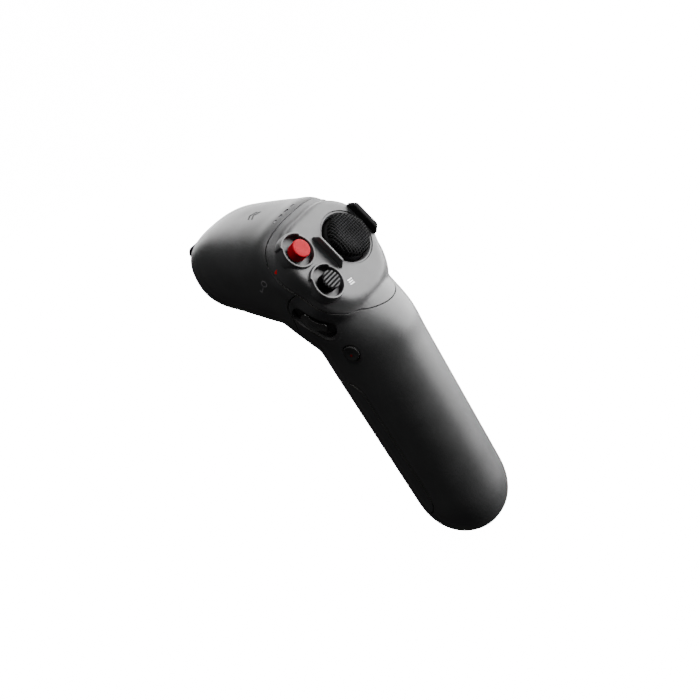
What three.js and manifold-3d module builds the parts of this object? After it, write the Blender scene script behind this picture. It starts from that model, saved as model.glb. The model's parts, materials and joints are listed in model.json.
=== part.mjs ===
// One-hand motion controller: a pistol-shaped handset with a thumb face.
// Frame: millimetres, +X to the user's right, +Y forward, +Z up. The origin is on
// the grip's axis at the middle of the hand. Each piece is one closed solid.
import * as THREE from 'three';
import { ParametricGeometry } from 'three/addons/geometries/ParametricGeometry.js';
import { RoundedBoxGeometry } from 'three/addons/geometries/RoundedBoxGeometry.js';
import { mergeVertices } from 'three/addons/utils/BufferGeometryUtils.js';
import Module from 'manifold-3d';

const wasm = await Module();
wasm.setup();

// ---------------------------------------------------------------- driving sizes
const DEG = Math.PI / 180;
const GAP = 0.3;               // clearance between neighbouring pieces
const WALL = 2;                // wall of the moulded covers

const RAKE = 10 * DEG;         // grip leans back from upright
const GRIP_TOP = 45;           // along the grip's axis, where the head begins
const GRIP_END = -64.5;        // along the grip's axis, the flat end
const GRIP_DEPTH_TOP = 22.9, GRIP_DEPTH_END = 21.1;   // half sizes, front to back
const GRIP_ASPECT = 0.95;      // half width over half depth

const FACE = new THREE.Vector3(0, 6, 85);   // middle of the thumb face
const FACE_LEAN = 30 * DEG;    // the face looks back, and this far above level

// Thumb face, in its own plane: x to the right, u up the face, n out of it.
const STICK_X = 8.8, STICK_U = -1, STICK_PIVOT = -5, CAP_R = 10.2, CAP_TOP = 4.7;
const STICK_HOLE_R = 11, CHAMFER_R = 11.8, CHAMFER_DEEP = 2.1, DISH_R = 12.7, DISH_DEEP = 0.45;
const BUTTON_X = -16.1, BUTTON_U = 8.8, BUTTON_R = 4.1, BUTTON_TOP = 3.9;
const RIB_PITCH = 1.45, RIB_GAP = 0.85, RIB_DEEP = 0.9;
const RIM_R = 7.7, RIM_LIP = 0.9, RIM_TOP = 1.5, WELL_FLOOR = -2.2, SCOOP = 0.8;
const SCOOP_FROM = 38 * DEG, SCOOP_TO = 138 * DEG;
const GUARD_HALF = 8.8, GUARD_LEFT = [-5.6, -4.7], GUARD_RIGHT = [20.9, 23.6];   // half length, x ranges

const LED_X = -1, LED_PITCH = 4.4, LED_Y = 24.9;
const SEAM_HEAD_Y = 22;        // the thumb panel meets the head here
const SEAM_GRIP_Y = 19.7;      // the head meets the grip here

// ---------------------------------------------------------------- small helpers
const V = (x, y, z) => new THREE.Vector3(x, y, z);

// A closed three.js geometry as a solid: shared corners merged, slivers dropped.
function solid(geometry) {
  const g = geometry.clone();
  for (const name of Object.keys(g.attributes)) if (name !== 'position') g.deleteAttribute(name);
  const merged = mergeVertices(g, 1e-4);
  const index = merged.index.array;
  const tris = [];
  for (let i = 0; i < index.length; i += 3) {
    const [a, b, c] = [index[i], index[i + 1], index[i + 2]];
    if (a !== b && b !== c && c !== a) tris.push(a, b, c);
  }
  const body = new wasm.Manifold(new wasm.Mesh({
    numProp: 3,
    vertProperties: new Float32Array(merged.attributes.position.array),
    triVerts: new Uint32Array(tris),
  }));
  if (body.volume() < 0) throw new Error('inside-out solid');
  return body;
}

function geometryOf(body) {
  const mesh = body.getMesh();
  const g = new THREE.BufferGeometry();
  g.setAttribute('position', new THREE.BufferAttribute(new Float32Array(mesh.vertProperties), 3));
  g.setIndex(new THREE.BufferAttribute(new Uint32Array(mesh.triVerts), 1));
  return g;
}

const moved = (g, x, y, z) => g.translate(x, y, z);
const box = (sx, sy, sz, x = 0, y = 0, z = 0) => moved(new THREE.BoxGeometry(sx, sy, sz), x, y, z);
const softBox = (sx, sy, sz, r, x = 0, y = 0, z = 0, seg = 1) =>
  moved(new RoundedBoxGeometry(sx, sy, sz, seg, r), x, y, z);

// A turned piece about local +Z from [radius, height] points, closed on the axis.
function turned(points, seg = 20) {
  const g = new THREE.LatheGeometry(points.map(([r, z]) => new THREE.Vector2(r, z)), seg);
  return g.rotateX(Math.PI / 2);
}
const disc = (r, z0, z1, seg = 20) => turned([[0, z0], [r, z0], [r, z1], [0, z1]], seg);
const tubeZ = (rIn, rOut, z0, z1, seg = 20) =>
  turned([[rIn, z0], [rOut, z0], [rOut, z1], [rIn, z1], [rIn, z0]], seg);

// A cylinder along X.
const barX = (r, x0, x1, y, z, seg = 20) =>
  moved(new THREE.CylinderGeometry(r, r, x1 - x0, seg).rotateZ(Math.PI / 2), (x0 + x1) / 2, y, z);

const extruded = (shape, depth, bevel = 0) => new THREE.ExtrudeGeometry(shape, {
  depth: depth - 2 * bevel, bevelEnabled: bevel > 0, bevelThickness: bevel, bevelSize: bevel,
  bevelOffset: -bevel, bevelSegments: 1, curveSegments: 4,
}).translate(0, 0, bevel);

// A side-view outline in (y, z), extruded across the body from x0 to x1.
const sideView = new THREE.Matrix4().makeBasis(V(0, 1, 0), V(0, 0, 1), V(1, 0, 0));
function across(shape, x0, x1) {
  const g = new THREE.ExtrudeGeometry(shape, { depth: x1 - x0, bevelEnabled: false, curveSegments: 12 });
  return g.applyMatrix4(sideView).translate(x0, 0, 0);
}

// A thin wall that follows an open side-view path, used to part two covers.
function seamWall(points, width = GAP, x0 = -60, x1 = 60, steps = 14) {
  const curve = new THREE.SplineCurve(points.map(([y, z]) => new THREE.Vector2(y, z)));
  const left = [], right = [];
  for (let i = 0; i <= steps; i++) {
    const p = curve.getPoint(i / steps), t = curve.getTangent(i / steps);
    const n = new THREE.Vector2(-t.y, t.x).multiplyScalar(width / 2);
    left.push(p.clone().add(n));
    right.push(p.clone().sub(n));
  }
  return across(new THREE.Shape([...left, ...right.reverse()]), x0, x1);
}

// ---------------------------------------------------------------- places
const faceMatrix = new THREE.Matrix4().makeRotationX(90 * DEG - FACE_LEAN).setPosition(FACE);
const gripMatrix = new THREE.Matrix4().makeRotationX(-RAKE);
const onFace = (g) => g.applyMatrix4(faceMatrix);   // local x right, y up the face, z out
const onGrip = (g) => g.applyMatrix4(gripMatrix);   // local x right, y forward, z up the axis

// ---------------------------------------------------------------- outer body
// Each station is a cross-section seen from the side: its back (or top) point, its
// front (or belly) point, its half width and how square it is (2 is an ellipse).
function gripStation(z) {
  const share = (GRIP_TOP - z) / (GRIP_TOP - GRIP_END);
  const depth = THREE.MathUtils.lerp(GRIP_DEPTH_TOP, GRIP_DEPTH_END, share);
  const at = (y) => V(0, y, z).applyMatrix4(gripMatrix);
  return { back: at(-depth), front: at(depth), w: depth * GRIP_ASPECT, n: 2.1 };
}
const station = (by, bz, fy, fz, w, n) => ({ back: V(0, by, bz), front: V(0, fy, fz), w, n });
const stations = [
  station(84, 99.5, 84, 65, 24.5, 2.6),
  station(60, 101.8, 58, 61, 25.9, 2.6),
  station(46, 102.4, 46, 58.2, 26.7, 2.7),
  station(33, 102.6, 37, 55.6, 26.9, 2.8),
  station(22.5, 102.2, 32, 54, 26.6, 2.9),
  station(13.2, 93.5, 30, 51.5, 26.3, 2.9),
  station(7.3, 83, 29, 49, 25.8, 2.7),
  station(1.2, 72, 28.8, 46.5, 24.7, 2.5),
  station(-4.6, 62.5, 29.3, 43.5, 23.3, 2.3),
  gripStation(GRIP_TOP),
  gripStation(30),
  gripStation(0),
  gripStation(-24),
  gripStation(-42),
  gripStation(GRIP_END),
];
const LAST = stations.length - 1;
// Roundness of the body's ends, the share of the end station used, and the rings in it.
const END_POWER = 2.3, END_FLAT = 0.93, END_RINGS = 5;
const open3 = (points) => new THREE.CatmullRomCurve3(points, false, 'catmullrom', 0.5);
const backLine = open3(stations.map((s) => s.back));
const frontLine = open3(stations.map((s) => s.front));
const sizeLine = open3(stations.map((s) => V(s.w, s.n, 0)));

// The body's surface at station s (0 to LAST) and turn a, set in by a wall thickness.
function bodyPoint(s, a, inset) {
  const share = s / LAST;
  const back = backLine.getPoint(share), front = frontLine.getPoint(share);
  const size = sizeLine.getPoint(share);
  const middle = back.clone().add(front).multiplyScalar(0.5);
  const up = back.clone().sub(front);
  const half = up.length() / 2;
  up.normalize();
  let k = 1;
  if (s < 1) k = (1 - (1 - s) ** END_POWER) ** (1 / END_POWER);
  if (s > LAST - 1) k = (1 - ((s - LAST + 1) * END_FLAT) ** END_POWER) ** (1 / END_POWER);
  const power = 2 / size.y;
  const c = Math.cos(a), q = Math.sin(a);
  const x = Math.sign(c) * Math.abs(c) ** power * Math.max(size.x * k - inset, 0.01);
  const h = Math.sign(q) * Math.abs(q) ** power * Math.max(half * k - inset, 0.01);
  return middle.addScaledVector(up, h).setX(x);
}

// Ring places: close together at the rounded ends, even between.
function ringPlaces(perStation, first, last) {
  const places = [];
  for (let i = 0; i < END_RINGS; i++) places.push(1 - Math.cos((i / END_RINGS) * 90 * DEG));
  for (let s = 1; s < LAST - 1; s += 1 / perStation) places.push(s);
  for (let i = 0; i <= END_RINGS; i++) places.push(LAST - 1 + Math.sin((i / END_RINGS) * 90 * DEG));
  return [first, ...places.filter((s) => s > first + 0.01 && s < last - 0.01), last];
}

function bodySolid(inset, around, perStation, first = 0, last = LAST) {
  const places = ringPlaces(perStation, first, last);
  const rings = places.length + 1;   // one more at each end closes the tube on its axis
  const surface = (u, v, target) => {
    const ring = Math.round(v * rings);
    const s = places[Math.min(Math.max(ring - 1, 0), places.length - 1)];
    if (ring === 0 || ring === rings) {
      target.copy(bodyPoint(s, 90 * DEG, inset)).add(bodyPoint(s, -90 * DEG, inset)).multiplyScalar(0.5);
    } else {
      target.copy(bodyPoint(s, (Math.round(u * around) % around) / around * 2 * Math.PI, inset));
    }
  };
  return solid(new ParametricGeometry(surface, around, rings));
}
// The raised, egg-shaped ground of the thumb face, flared towards the body below it.
const FACE_HALF = [[0, 19], [9, 18.8], [15, 17.3], [19.5, 14], [23, 9.5], [24.7, 4], [24.8, -2],
  [23.7, -9], [21.6, -14.5], [18.8, -19.3], [15, -23.4], [8.5, -26.2], [0, -27.2]];
// [height, outward growth] down its edge: flat ground, rounded edge, flare. The chin's is gentler.
const FACE_ROWS = [[0, -2.2], [-0.35, -1.1], [-1.1, -0.35], [-2.4, 0], [-8, 0.8], [-14, 2]];
const CHIN_ROWS = [[0, -4.6], [-0.3, -3.3], [-1.1, -2.1], [-2.9, -0.3], [-5.4, 2.2], [-14, 4.5]];
const CHIN_FROM = 6, CHIN_FULL = 15;   // how far below the middle the chin begins, and is whole
function faceBoss(inset) {
  const half = FACE_HALF.map(([x, u]) => V(x, u, 0));
  const loop = [...half, ...half.slice(1, -1).reverse().map((p) => V(-p.x, p.y, 0))];
  const curve = new THREE.CatmullRomCurve3(loop, true, 'centripetal');
  const around = 36, middle = V(0, -4, 0);
  const rings = FACE_ROWS.length + 1;
  const surface = (a, v, target) => {
    const ring = Math.round(v * rings);
    const row = Math.min(Math.max(ring - 1, 0), FACE_ROWS.length - 1);
    const p = curve.getPoint((Math.round(a * around) % around) / around);
    const chin = THREE.MathUtils.smoothstep(-p.y, CHIN_FROM, CHIN_FULL);
    const [n, grow] = FACE_ROWS[row].map((v, i) => THREE.MathUtils.lerp(v, CHIN_ROWS[row][i], chin) - inset);
    if (ring === 0 || ring === rings) { target.copy(middle).setZ(FACE_ROWS[row][0] - inset); return; }
    const out = p.clone().sub(middle).normalize();
    target.copy(p).addScaledVector(out, grow).setZ(n);
  };
  return solid(onFace(new ParametricGeometry(surface, around, rings)));
}

const outer = bodySolid(0, 28, 1.5).add(faceBoss(0));
const NOSE_START = 0.1, END_STOP = LAST - 0.142;   // leaves a nose wall and a 3 mm floor
const inner = bodySolid(WALL, 16, 1, NOSE_START, END_STOP).add(faceBoss(WALL));

// ---------------------------------------------------------------- local frames on the flanks
// A frame whose z looks out of the surface at `at`; its x lies along `along`.
function frameAt(at, normal, along) {
  const z = normal.clone().normalize();
  const x = along.clone().addScaledVector(z, -along.dot(z)).normalize();
  return new THREE.Matrix4().makeBasis(x, z.clone().cross(x), z).setPosition(at);
}
const DIAL_PIVOT = -6.7;
const dialMatrix = frameAt(V(-24.6, 10.9, 62), V(-0.965, -0.1, -0.24), V(0, -0.62, -0.785));
const onDial = (g) => g.applyMatrix4(dialMatrix);
const POCKET_LONG = 21, POCKET_WIDE = 8.6, POCKET_DEEP = 3.5;

const recordMatrix = frameAt(
  V(-20.95, -6.9, 44.3).applyMatrix4(gripMatrix),
  V(-0.959, -0.284, 0).transformDirection(gripMatrix), V(0, 0, 1).transformDirection(gripMatrix));
const onRecord = (g) => g.applyMatrix4(recordMatrix);
const RECORD_R = 3.6;

const powerMatrix = frameAt(V(25, 28.5, 92), V(0.914, 0, 0.406), V(0, 1, 0));
const onPower = (g) => g.applyMatrix4(powerMatrix);
const POWER_LONG = 8.4, POWER_WIDE = 4.2;

// A rounded-end slot outline, long along x.
function pill(long, wide) {
  const r = wide / 2, h = long / 2 - r;
  const s = new THREE.Shape();
  s.absarc(h, 0, r, -90 * DEG, 90 * DEG, false);
  s.absarc(-h, 0, r, 90 * DEG, 270 * DEG, false);
  s.closePath();
  return s;
}
// A round outline with a wider sector between two angles.
function scooped(r, wide) {
  const s = new THREE.Shape();
  s.absarc(0, 0, r, SCOOP_TO, SCOOP_FROM + 360 * DEG, false);
  s.absarc(0, 0, wide, SCOOP_FROM, SCOOP_TO, false);
  s.closePath();
  return s;
}

// ---------------------------------------------------------------- covers
// Seams seen from the side, as (y, z): the thumb panel's, the grip's, and the front cover's.
const panelSeam = [[SEAM_HEAD_Y - 0.3, 112], [SEAM_HEAD_Y - 0.3, 106], [SEAM_HEAD_Y, 101.6],
  [SEAM_HEAD_Y + 0.7, 98], [SEAM_HEAD_Y + 0.3, 94], [SEAM_HEAD_Y - 0.8, 89.5], [17.2, 83.6],
  [11.2, 77.6], [6.3, 71.8], [0.7, 64.9], [-2.5, 60.6], [-5.4, 58.3], [-7.8, 57.2], [-9, 56.7],
  [-13, 55], [-20, 52]];
const gripSeam = [[11.4, 77.5], [13.6, 76.8], [16.4, 75], [18.8, 72.6], [SEAM_GRIP_Y, 69.5],
  [SEAM_GRIP_Y, 64], [SEAM_GRIP_Y + 1.2, 58], [SEAM_GRIP_Y + 4, 52], [SEAM_GRIP_Y + 9, 47.2],
  [SEAM_GRIP_Y + 16, 44.5]];
const coverSeam = [[40, 30.5], [14, 30.5], [6, 30], [1.4, 27.4], [0, 22], [0, 10], [0, -12], [0, -32],
  [1.4, -41], [6, -45.3], [14, -46.5], [40, -46.5]];

// Below the face the panel's seam leans a little, lower on the right.
const SEAM_LEAN = 0.13, LEAN_FROM = -2, LEAN_FULL = 6;
function panelWall(width) {
  const g = seamWall(panelSeam, width);
  const p = g.attributes.position;
  for (let i = 0; i < p.count; i++) {
    const lean = SEAM_LEAN * THREE.MathUtils.smoothstep(-p.getY(i), LEAN_FROM, LEAN_FULL);
    p.setZ(i, p.getZ(i) - lean * p.getX(i));
  }
  return solid(g);
}
const shell = outer.subtract(inner).subtract(panelWall()).subtract(solid(seamWall(gripSeam)))
  .subtract(solid(onGrip(seamWall(coverSeam))));

// The four covers, told apart by where they lie.
const SLIVER = 50;   // mm3: anything smaller is a scrap of a seam
const found = shell.decompose().filter((p) => p.volume() > SLIVER);
if (found.length !== 4) throw new Error(`${found.length} covers`);
function cover(lies) {
  return found.find((p) => {
    const { min, max } = p.boundingBox();
    return lies((min[1] + max[1]) / 2, (min[2] + max[2]) / 2);
  });
}
let headShell = cover((y) => y > 35);
let gripShell = cover((y) => y < 5);
const frontCover = cover((y, z) => z < 0 && y > 5);
let thumbPanel = cover((y, z) => z > 50 && y < 20);

// A cover keeps its main body: slivers that a cut leaves loose are dropped.
const mainBody = (body) => body.decompose().sort((a, b) => b.volume() - a.volume())[0];

// ---------------------------------------------------------------- thumb panel
const faceSolid = (g) => solid(onFace(g));
const sides = [1, -1];                          // the lock button above, the mode button below
const buttonAt = (side) => [BUTTON_X, side * BUTTON_U];
const CUP_R = 9.2, CUP_TOP = -0.5, RIM_FOOT = 3, STEM_HOLE_R = 3.4;
const BELOW = -12, ABOVE = 8;                   // how far cutters run past the face
for (const side of sides) {
  const at = buttonAt(side);
  const cup = faceSolid(disc(CUP_R, WELL_FLOOR - WALL, CUP_TOP).translate(...at, 0)).intersect(outer);
  const rim = extruded(scooped(RIM_R, RIM_R + SCOOP), RIM_TOP + RIM_FOOT).translate(...at, -RIM_FOOT);
  thumbPanel = thumbPanel.add(cup).add(faceSolid(rim));
}

// The shallow dish round the stick, in a collar that thickens the panel below it.
const atStick = (g) => faceSolid(g.translate(STICK_X, STICK_U, 0));
const COLLAR = 0.9, COLLAR_LOW = -4, COLLAR_TOP = -0.3, BRIM = 0.2;
const collar = atStick(disc(DISH_R + COLLAR, COLLAR_LOW, COLLAR_TOP, 32)).intersect(outer);
const dish = turned([[0, -CHAMFER_DEEP], [STICK_HOLE_R, -CHAMFER_DEEP], [CHAMFER_R, -DISH_DEEP],
  [DISH_R - BRIM, -DISH_DEEP], [DISH_R, 0], [DISH_R, 3], [0, 3]], 32);
thumbPanel = thumbPanel.add(collar).subtract(atStick(dish));

// A guard wall seen from the side: upright faces, sloping ends, small chamfers.
const GUARD_FOOT = -1.8, GUARD_BASE = 0.4, GUARD_SLOPE = 1.9, GUARD_CHAMFER = 0.5;
function guard([x0, x1], height) {
  const half = [[GUARD_HALF, GUARD_FOOT], [GUARD_HALF, GUARD_BASE],
    [GUARD_HALF - GUARD_SLOPE, height - GUARD_CHAMFER], [GUARD_HALF - GUARD_SLOPE - GUARD_CHAMFER, height]];
  const outline = [...half, ...half.toReversed().map(([u, n]) => [-u, n])];
  return faceSolid(across(new THREE.Shape(outline.map(([u, n]) => new THREE.Vector2(u, n))), x0, x1));
}
thumbPanel = thumbPanel.add(guard(GUARD_LEFT, 4.2)).add(guard(GUARD_RIGHT, 4.1))
  .subtract(atStick(disc(STICK_HOLE_R, BELOW, ABOVE, 32)));
for (const side of sides) {
  const at = buttonAt(side);
  const well = extruded(scooped(RIM_R - RIM_LIP, RIM_R - RIM_LIP + SCOOP), 6).translate(...at, WELL_FLOOR);
  thumbPanel = thumbPanel.subtract(faceSolid(well))
    .subtract(faceSolid(disc(STEM_HOLE_R, BELOW, 2, 24).translate(...at, 0)));
}

// ---------------------------------------------------------------- holes in the grip and the head
// Grip shell: a pocket for the dial with its own floor, and the stem's slot through that floor.
const dialSolid = (g) => solid(onDial(g));
const POCKET_WALL = 2, SEAM_CLEARANCE = 2;
const pocketCup = dialSolid(extruded(pill(POCKET_LONG + 2 * POCKET_WALL, POCKET_WIDE + 2 * POCKET_WALL), 12)
  .translate(0, 0, -POCKET_DEEP - POCKET_WALL)).intersect(outer)
  .subtract(solid(seamWall(gripSeam, SEAM_CLEARANCE))).subtract(panelWall(SEAM_CLEARANCE));
gripShell = gripShell.add(pocketCup)
  .subtract(dialSolid(extruded(pill(POCKET_LONG, POCKET_WIDE), 14).translate(0, 0, -POCKET_DEEP)))
  .subtract(dialSolid(box(6.4, 4.4, 8, 0, 0, -POCKET_DEEP - 1)));

// Holes for the record button, the charge port and a wrist cord.
const PORT_LONG = 9, PORT_WIDE = 3.2, CORD_HOLE_R = 1.2, CORD_X = 2.6, CORD_Y = 6.2;
const END_LOW = GRIP_END - 2, END_HIGH = GRIP_END + 6;
const portHole = extruded(pill(PORT_LONG + 2 * GAP, PORT_WIDE + 2 * GAP), 8).translate(0, 0, END_LOW);
gripShell = gripShell.subtract(solid(onRecord(disc(RECORD_R + GAP, -8, 3, 28))))
  .subtract(solid(onGrip(portHole)));
for (const side of sides) {
  const hole = disc(CORD_HOLE_R, END_LOW, END_HIGH, 16).translate(side * CORD_X, CORD_Y, 0);
  gripShell = gripShell.subtract(solid(onGrip(hole)));
}

// Trigger window through the grip's throat, shared by the head shell and the grip shell.
const TRIGGER_HALF = 7;
const triggerWindow = solid(box(2 * TRIGGER_HALF + 1, 30, 24.5, 0, 35, 46.25));
headShell = headShell.subtract(triggerWindow);
gripShell = gripShell.subtract(triggerWindow);

// Head shell: slots for the light pipes, the power button's hole, the nose recess.
const lightX = [0, 1, 2, 3].map((i) => LED_X + (i - 1.5) * LED_PITCH);
const LIGHT_LONG = 1.8, LIGHT_WIDE = 0.7, LIGHT_FOOT = 98.4;
for (const x of lightX) {
  const slot = extruded(pill(LIGHT_LONG + 2 * GAP, LIGHT_WIDE + 2 * GAP), 8).translate(x, LED_Y, 98);
  headShell = headShell.subtract(solid(slot));
}
const powerHole = extruded(pill(POWER_LONG + 2 * GAP, POWER_WIDE + 2 * GAP), 10).translate(0, 0, -6);
const noseMatrix = frameAt(V(0, 84, 88.5), V(0, 1, 0), V(1, 0, 0));
const NOSE_LONG = 20, NOSE_WIDE = 6, NOSE_SUNK = 1, NOSE_THICK = 2.1;
const noseRecess = extruded(pill(NOSE_LONG + 2 * GAP, NOSE_WIDE + 2 * GAP), 4).applyMatrix4(noseMatrix)
  .translate(0, -NOSE_SUNK - GAP, 0);
headShell = headShell.subtract(solid(onPower(powerHole))).subtract(solid(noseRecess));

// ---------------------------------------------------------------- the assembly
const group = new THREE.Group();
// Colour, roughness and metalness of each finish.
const FINISHES = {
  shell: [0x2d2e30, 0.62, 0], rubber: [0x151516, 0.85, 0], red: [0xc4121c, 0.4, 0],
  black: [0x1c1c1e, 0.5, 0], steel: [0xb8babd, 0.3, 1], board: [0x1f5a36, 0.6, 0],
  chip: [0x18191b, 0.55, 0], cell: [0x3b6fb0, 0.5, 0], frame: [0x44464a, 0.7, 0],
  light: [0xe8ecef, 0.25, 0], gold: [0xc9a34a, 0.35, 1],
};
const materials = Object.fromEntries(Object.entries(FINISHES).map(([slot, [color, roughness, metalness]]) =>
  [slot, new THREE.MeshStandardMaterial({ color, roughness, metalness })]));

// Adds a named piece. Its shape is a geometry or a solid; `place` moves it into the row frame.
function add(name, shape, slot, place = (g) => g) {
  const geometry = place(shape.getMesh ? geometryOf(shape) : shape);
  const mesh = new THREE.Mesh(geometry, materials[slot]);
  mesh.name = name;
  group.add(mesh);
}

const joined = (...parts) => parts.map((g) => solid(g)).reduce((a, b) => a.add(b));

add('head_shell', mainBody(headShell), 'shell');
add('thumb_panel', mainBody(thumbPanel), 'shell');
add('grip_shell', mainBody(gripShell), 'shell');
add('grip_front_cover', mainBody(frontCover), 'shell');
add('nose_cover', extruded(pill(NOSE_LONG, NOSE_WIDE), NOSE_THICK, 0.5).applyMatrix4(noseMatrix)
  .translate(0, -NOSE_SUNK, 0), 'rubber');

// ---------------------------------------------------------------- thumb stick
// A cap on a shaft, in a ring that tilts in a fixed housing. Heights are from the pivot.
const onStick = (g) => onFace(g.translate(STICK_X, STICK_U, STICK_PIVOT));
const SKIRT_R = 10.6, SKIRT_IN = 9.8, SKIRT_LOW = -0.5, SKIRT_TOP = 4.8, SKIRT_UNDER = 4.2, SHAFT_R = 2;
const RING_IN = 4, RING_OUT = 5.8, RING_HALF = 1.3, TRUNNION_R = 0.8, BEARING_R = TRUNNION_R + 0.1;
const HOUSING_IN = 6.2, HOUSING_OUT = 8.3, FLANGE_IN = 5, FLANGE_OUT = 11;
const capProfile = [[CAP_R - 0.9, 0.1], [CAP_R - 0.4, 0.9], [CAP_R, 1.8], [CAP_R - 0.5, 3], [CAP_R - 1.6, 4],
  [CAP_R - 3.2, CAP_TOP]].map(([r, n]) => [r, n - STICK_PIVOT]);
add('stick_cap', turned([[0, capProfile[0][1]], ...capProfile, [0, CAP_TOP - 0.4 - STICK_PIVOT]], 28),
  'rubber', onStick);

// Points of a circle about the pivot, between two heights.
const arcPoints = (r, z0, z1, steps) => Array.from({ length: steps + 1 }, (_, i) => {
  const z = THREE.MathUtils.lerp(z0, z1, i / steps);
  return [Math.sqrt(r * r - z * z), z];
});
const skirtHole = SHAFT_R + GAP;
add('stick_skirt', turned([[skirtHole, SKIRT_TOP], [skirtHole, SKIRT_UNDER],
  ...arcPoints(SKIRT_IN, SKIRT_UNDER, SKIRT_LOW, 2), ...arcPoints(SKIRT_R, SKIRT_LOW, SKIRT_TOP, 3),
  [skirtHole, SKIRT_TOP]], 24), 'black', onStick);

const pinY = (r, half, z = 0) => moved(new THREE.CylinderGeometry(r, r, 2 * half, 12), 0, 0, z);
const pinX = (r, half, x = 0) => moved(pinY(r, half).rotateZ(90 * DEG), x, 0, 0);
add('stick_shaft', joined(disc(SHAFT_R, -6, 4.7, 16), pinY(TRUNNION_R, 5.4)), 'steel', onStick);
const ring = solid(tubeZ(RING_IN, RING_OUT, -RING_HALF, RING_HALF, 16)).subtract(solid(pinY(BEARING_R, 12)))
  .add(solid(pinX(TRUNNION_R, 1.4, 6.4))).add(solid(pinX(TRUNNION_R, 1.4, -6.4)));
add('gimbal_ring', ring, 'frame', onStick);
const housingWall = tubeZ(HOUSING_IN, HOUSING_OUT, -8, RING_HALF, 20);
const flange = tubeZ(FLANGE_IN, FLANGE_OUT, -8.5, -7, 20);
add('gimbal_housing', joined(housingWall, flange).subtract(solid(pinX(BEARING_R, 12))), 'frame', onStick);
const SENSOR_AT = 9.8, SENSOR_Z = -5.95;
add('stick_sensor_x', box(2.4, 3.6, 1.5, SENSOR_AT, 0, SENSOR_Z), 'chip', onStick);
add('stick_sensor_y', box(3.6, 2.4, 1.5, 0, SENSOR_AT, SENSOR_Z), 'chip', onStick);

// ---------------------------------------------------------------- lock and mode buttons
// A stem with a collar that stops it under the well's floor, and a crown with a chamfered edge.
const STEM_R = 3, COLLAR_R = 3.9, CROWN_LOW = -1.1, CROWN_EDGE = 0.5;
const buttonProfile = [[0, -8], [STEM_R, -8], [STEM_R, -5.8], [COLLAR_R, -5.8], [COLLAR_R, -4.8],
  [STEM_R, -4.8], [STEM_R, CROWN_LOW], [BUTTON_R, CROWN_LOW], [BUTTON_R, BUTTON_TOP - CROWN_EDGE],
  [BUTTON_R - CROWN_EDGE, BUTTON_TOP], [0, BUTTON_TOP]];
const BOARD_TOP = -14;
for (const [name, side, slot] of [['lock', 1, 'red'], ['mode', -1, 'black']]) {
  const place = (g) => onFace(g.translate(...buttonAt(side), 0));
  let button = solid(turned(buttonProfile, 20));
  if (name === 'mode') {
    for (let i = -2; i <= 2; i++) {
      button = button.subtract(solid(box(10, RIB_GAP, 2 * RIB_DEEP, 0, i * RIB_PITCH, BUTTON_TOP)));
    }
  }
  add(`${name}_button`, button, slot, place);
  add(`${name}_switch`, joined(box(5, 5, 3.5, 0, 0, BOARD_TOP + 2.05), disc(1.6, BOARD_TOP + 3, -9.2, 16)),
    'chip', place);
}
add('control_board', box(36, 23.8, 1.2, -2, 1.6, BOARD_TOP - 0.6), 'board', onFace);

// ---------------------------------------------------------------- dial
// A rocking thumb piece on a carrier that also presses in. Its crest is a wave seen from the side.
const EAR_Y = 3.1, DIAL_PIN_R = 0.6, DIAL_HALF = 2.9, CREST_END = 6.2;
const crest = new THREE.Shape();
crest.moveTo(-CREST_END, -1.3);
crest.lineTo(-CREST_END, -0.6);
crest.splineThru([[-4.5, -0.1], [-2.2, 0.9], [0, 1.2], [2, 0.8], [4, 0], [CREST_END, -0.6]]
  .map(([x, z]) => new THREE.Vector2(x, z)));
crest.lineTo(CREST_END, -1.3);
crest.closePath();
const wave = new THREE.ExtrudeGeometry(crest, { depth: 2 * DIAL_HALF, bevelEnabled: false, curveSegments: 3 })
  .translate(0, 0, -DIAL_HALF).rotateX(90 * DEG);
const dialBore = () => solid(pinY(DIAL_PIN_R + 0.1, 6, DIAL_PIVOT));
const dialStem = box(2.6, 3.6, 7, 0, 0, -4.5);
add('dial_knob', joined(wave, dialStem).subtract(dialBore()), 'black', onDial);
const ear = (side) => box(3, 1.4, 3.6, 0, side * EAR_Y, -7.4);
add('dial_carrier', joined(box(5, 8, 0.9, 0, 0, -9.45), ear(1), ear(-1)).subtract(dialBore()), 'frame', onDial);
add('dial_pin', pinY(DIAL_PIN_R, 3.7, DIAL_PIVOT), 'steel', onDial);
add('dial_switch', joined(box(4.4, 4.4, 1.8, 0, 0, -11.9), disc(1.2, -11.5, -10.5, 10)), 'chip', onDial);

// ---------------------------------------------------------------- record and power buttons
// Record is on the left flank, power on the right shoulder. Each stands on its own switch.
const recordProfile = [[0, -6], [2.6, -6], [2.6, -3.6], [4.4, -3.6], [4.4, -2.9], [RECORD_R, -2.9],
  [RECORD_R, 0.3], [RECORD_R - 0.5, 0.7], [0, 0.6]];
const flankSwitch = (top) => joined(box(6, 6, 3, 0, 0, top - 2.1), disc(1.3, top - 1.4, top, 12));
add('record_button', turned(recordProfile, 20), 'black', onRecord);
add('record_switch', flankSwitch(-6.6), 'chip', onRecord);
const powerCrown = extruded(pill(POWER_LONG, POWER_WIDE), 6.2, 0.4).translate(0, 0, -5);
const powerFlange = extruded(pill(POWER_LONG + 2, POWER_WIDE + 2), 0.8).translate(0, 0, -4.6);
add('power_button', joined(powerCrown, powerFlange), 'black', onPower);
add('power_switch', flankSwitch(-5.6), 'chip', onPower);

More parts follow.
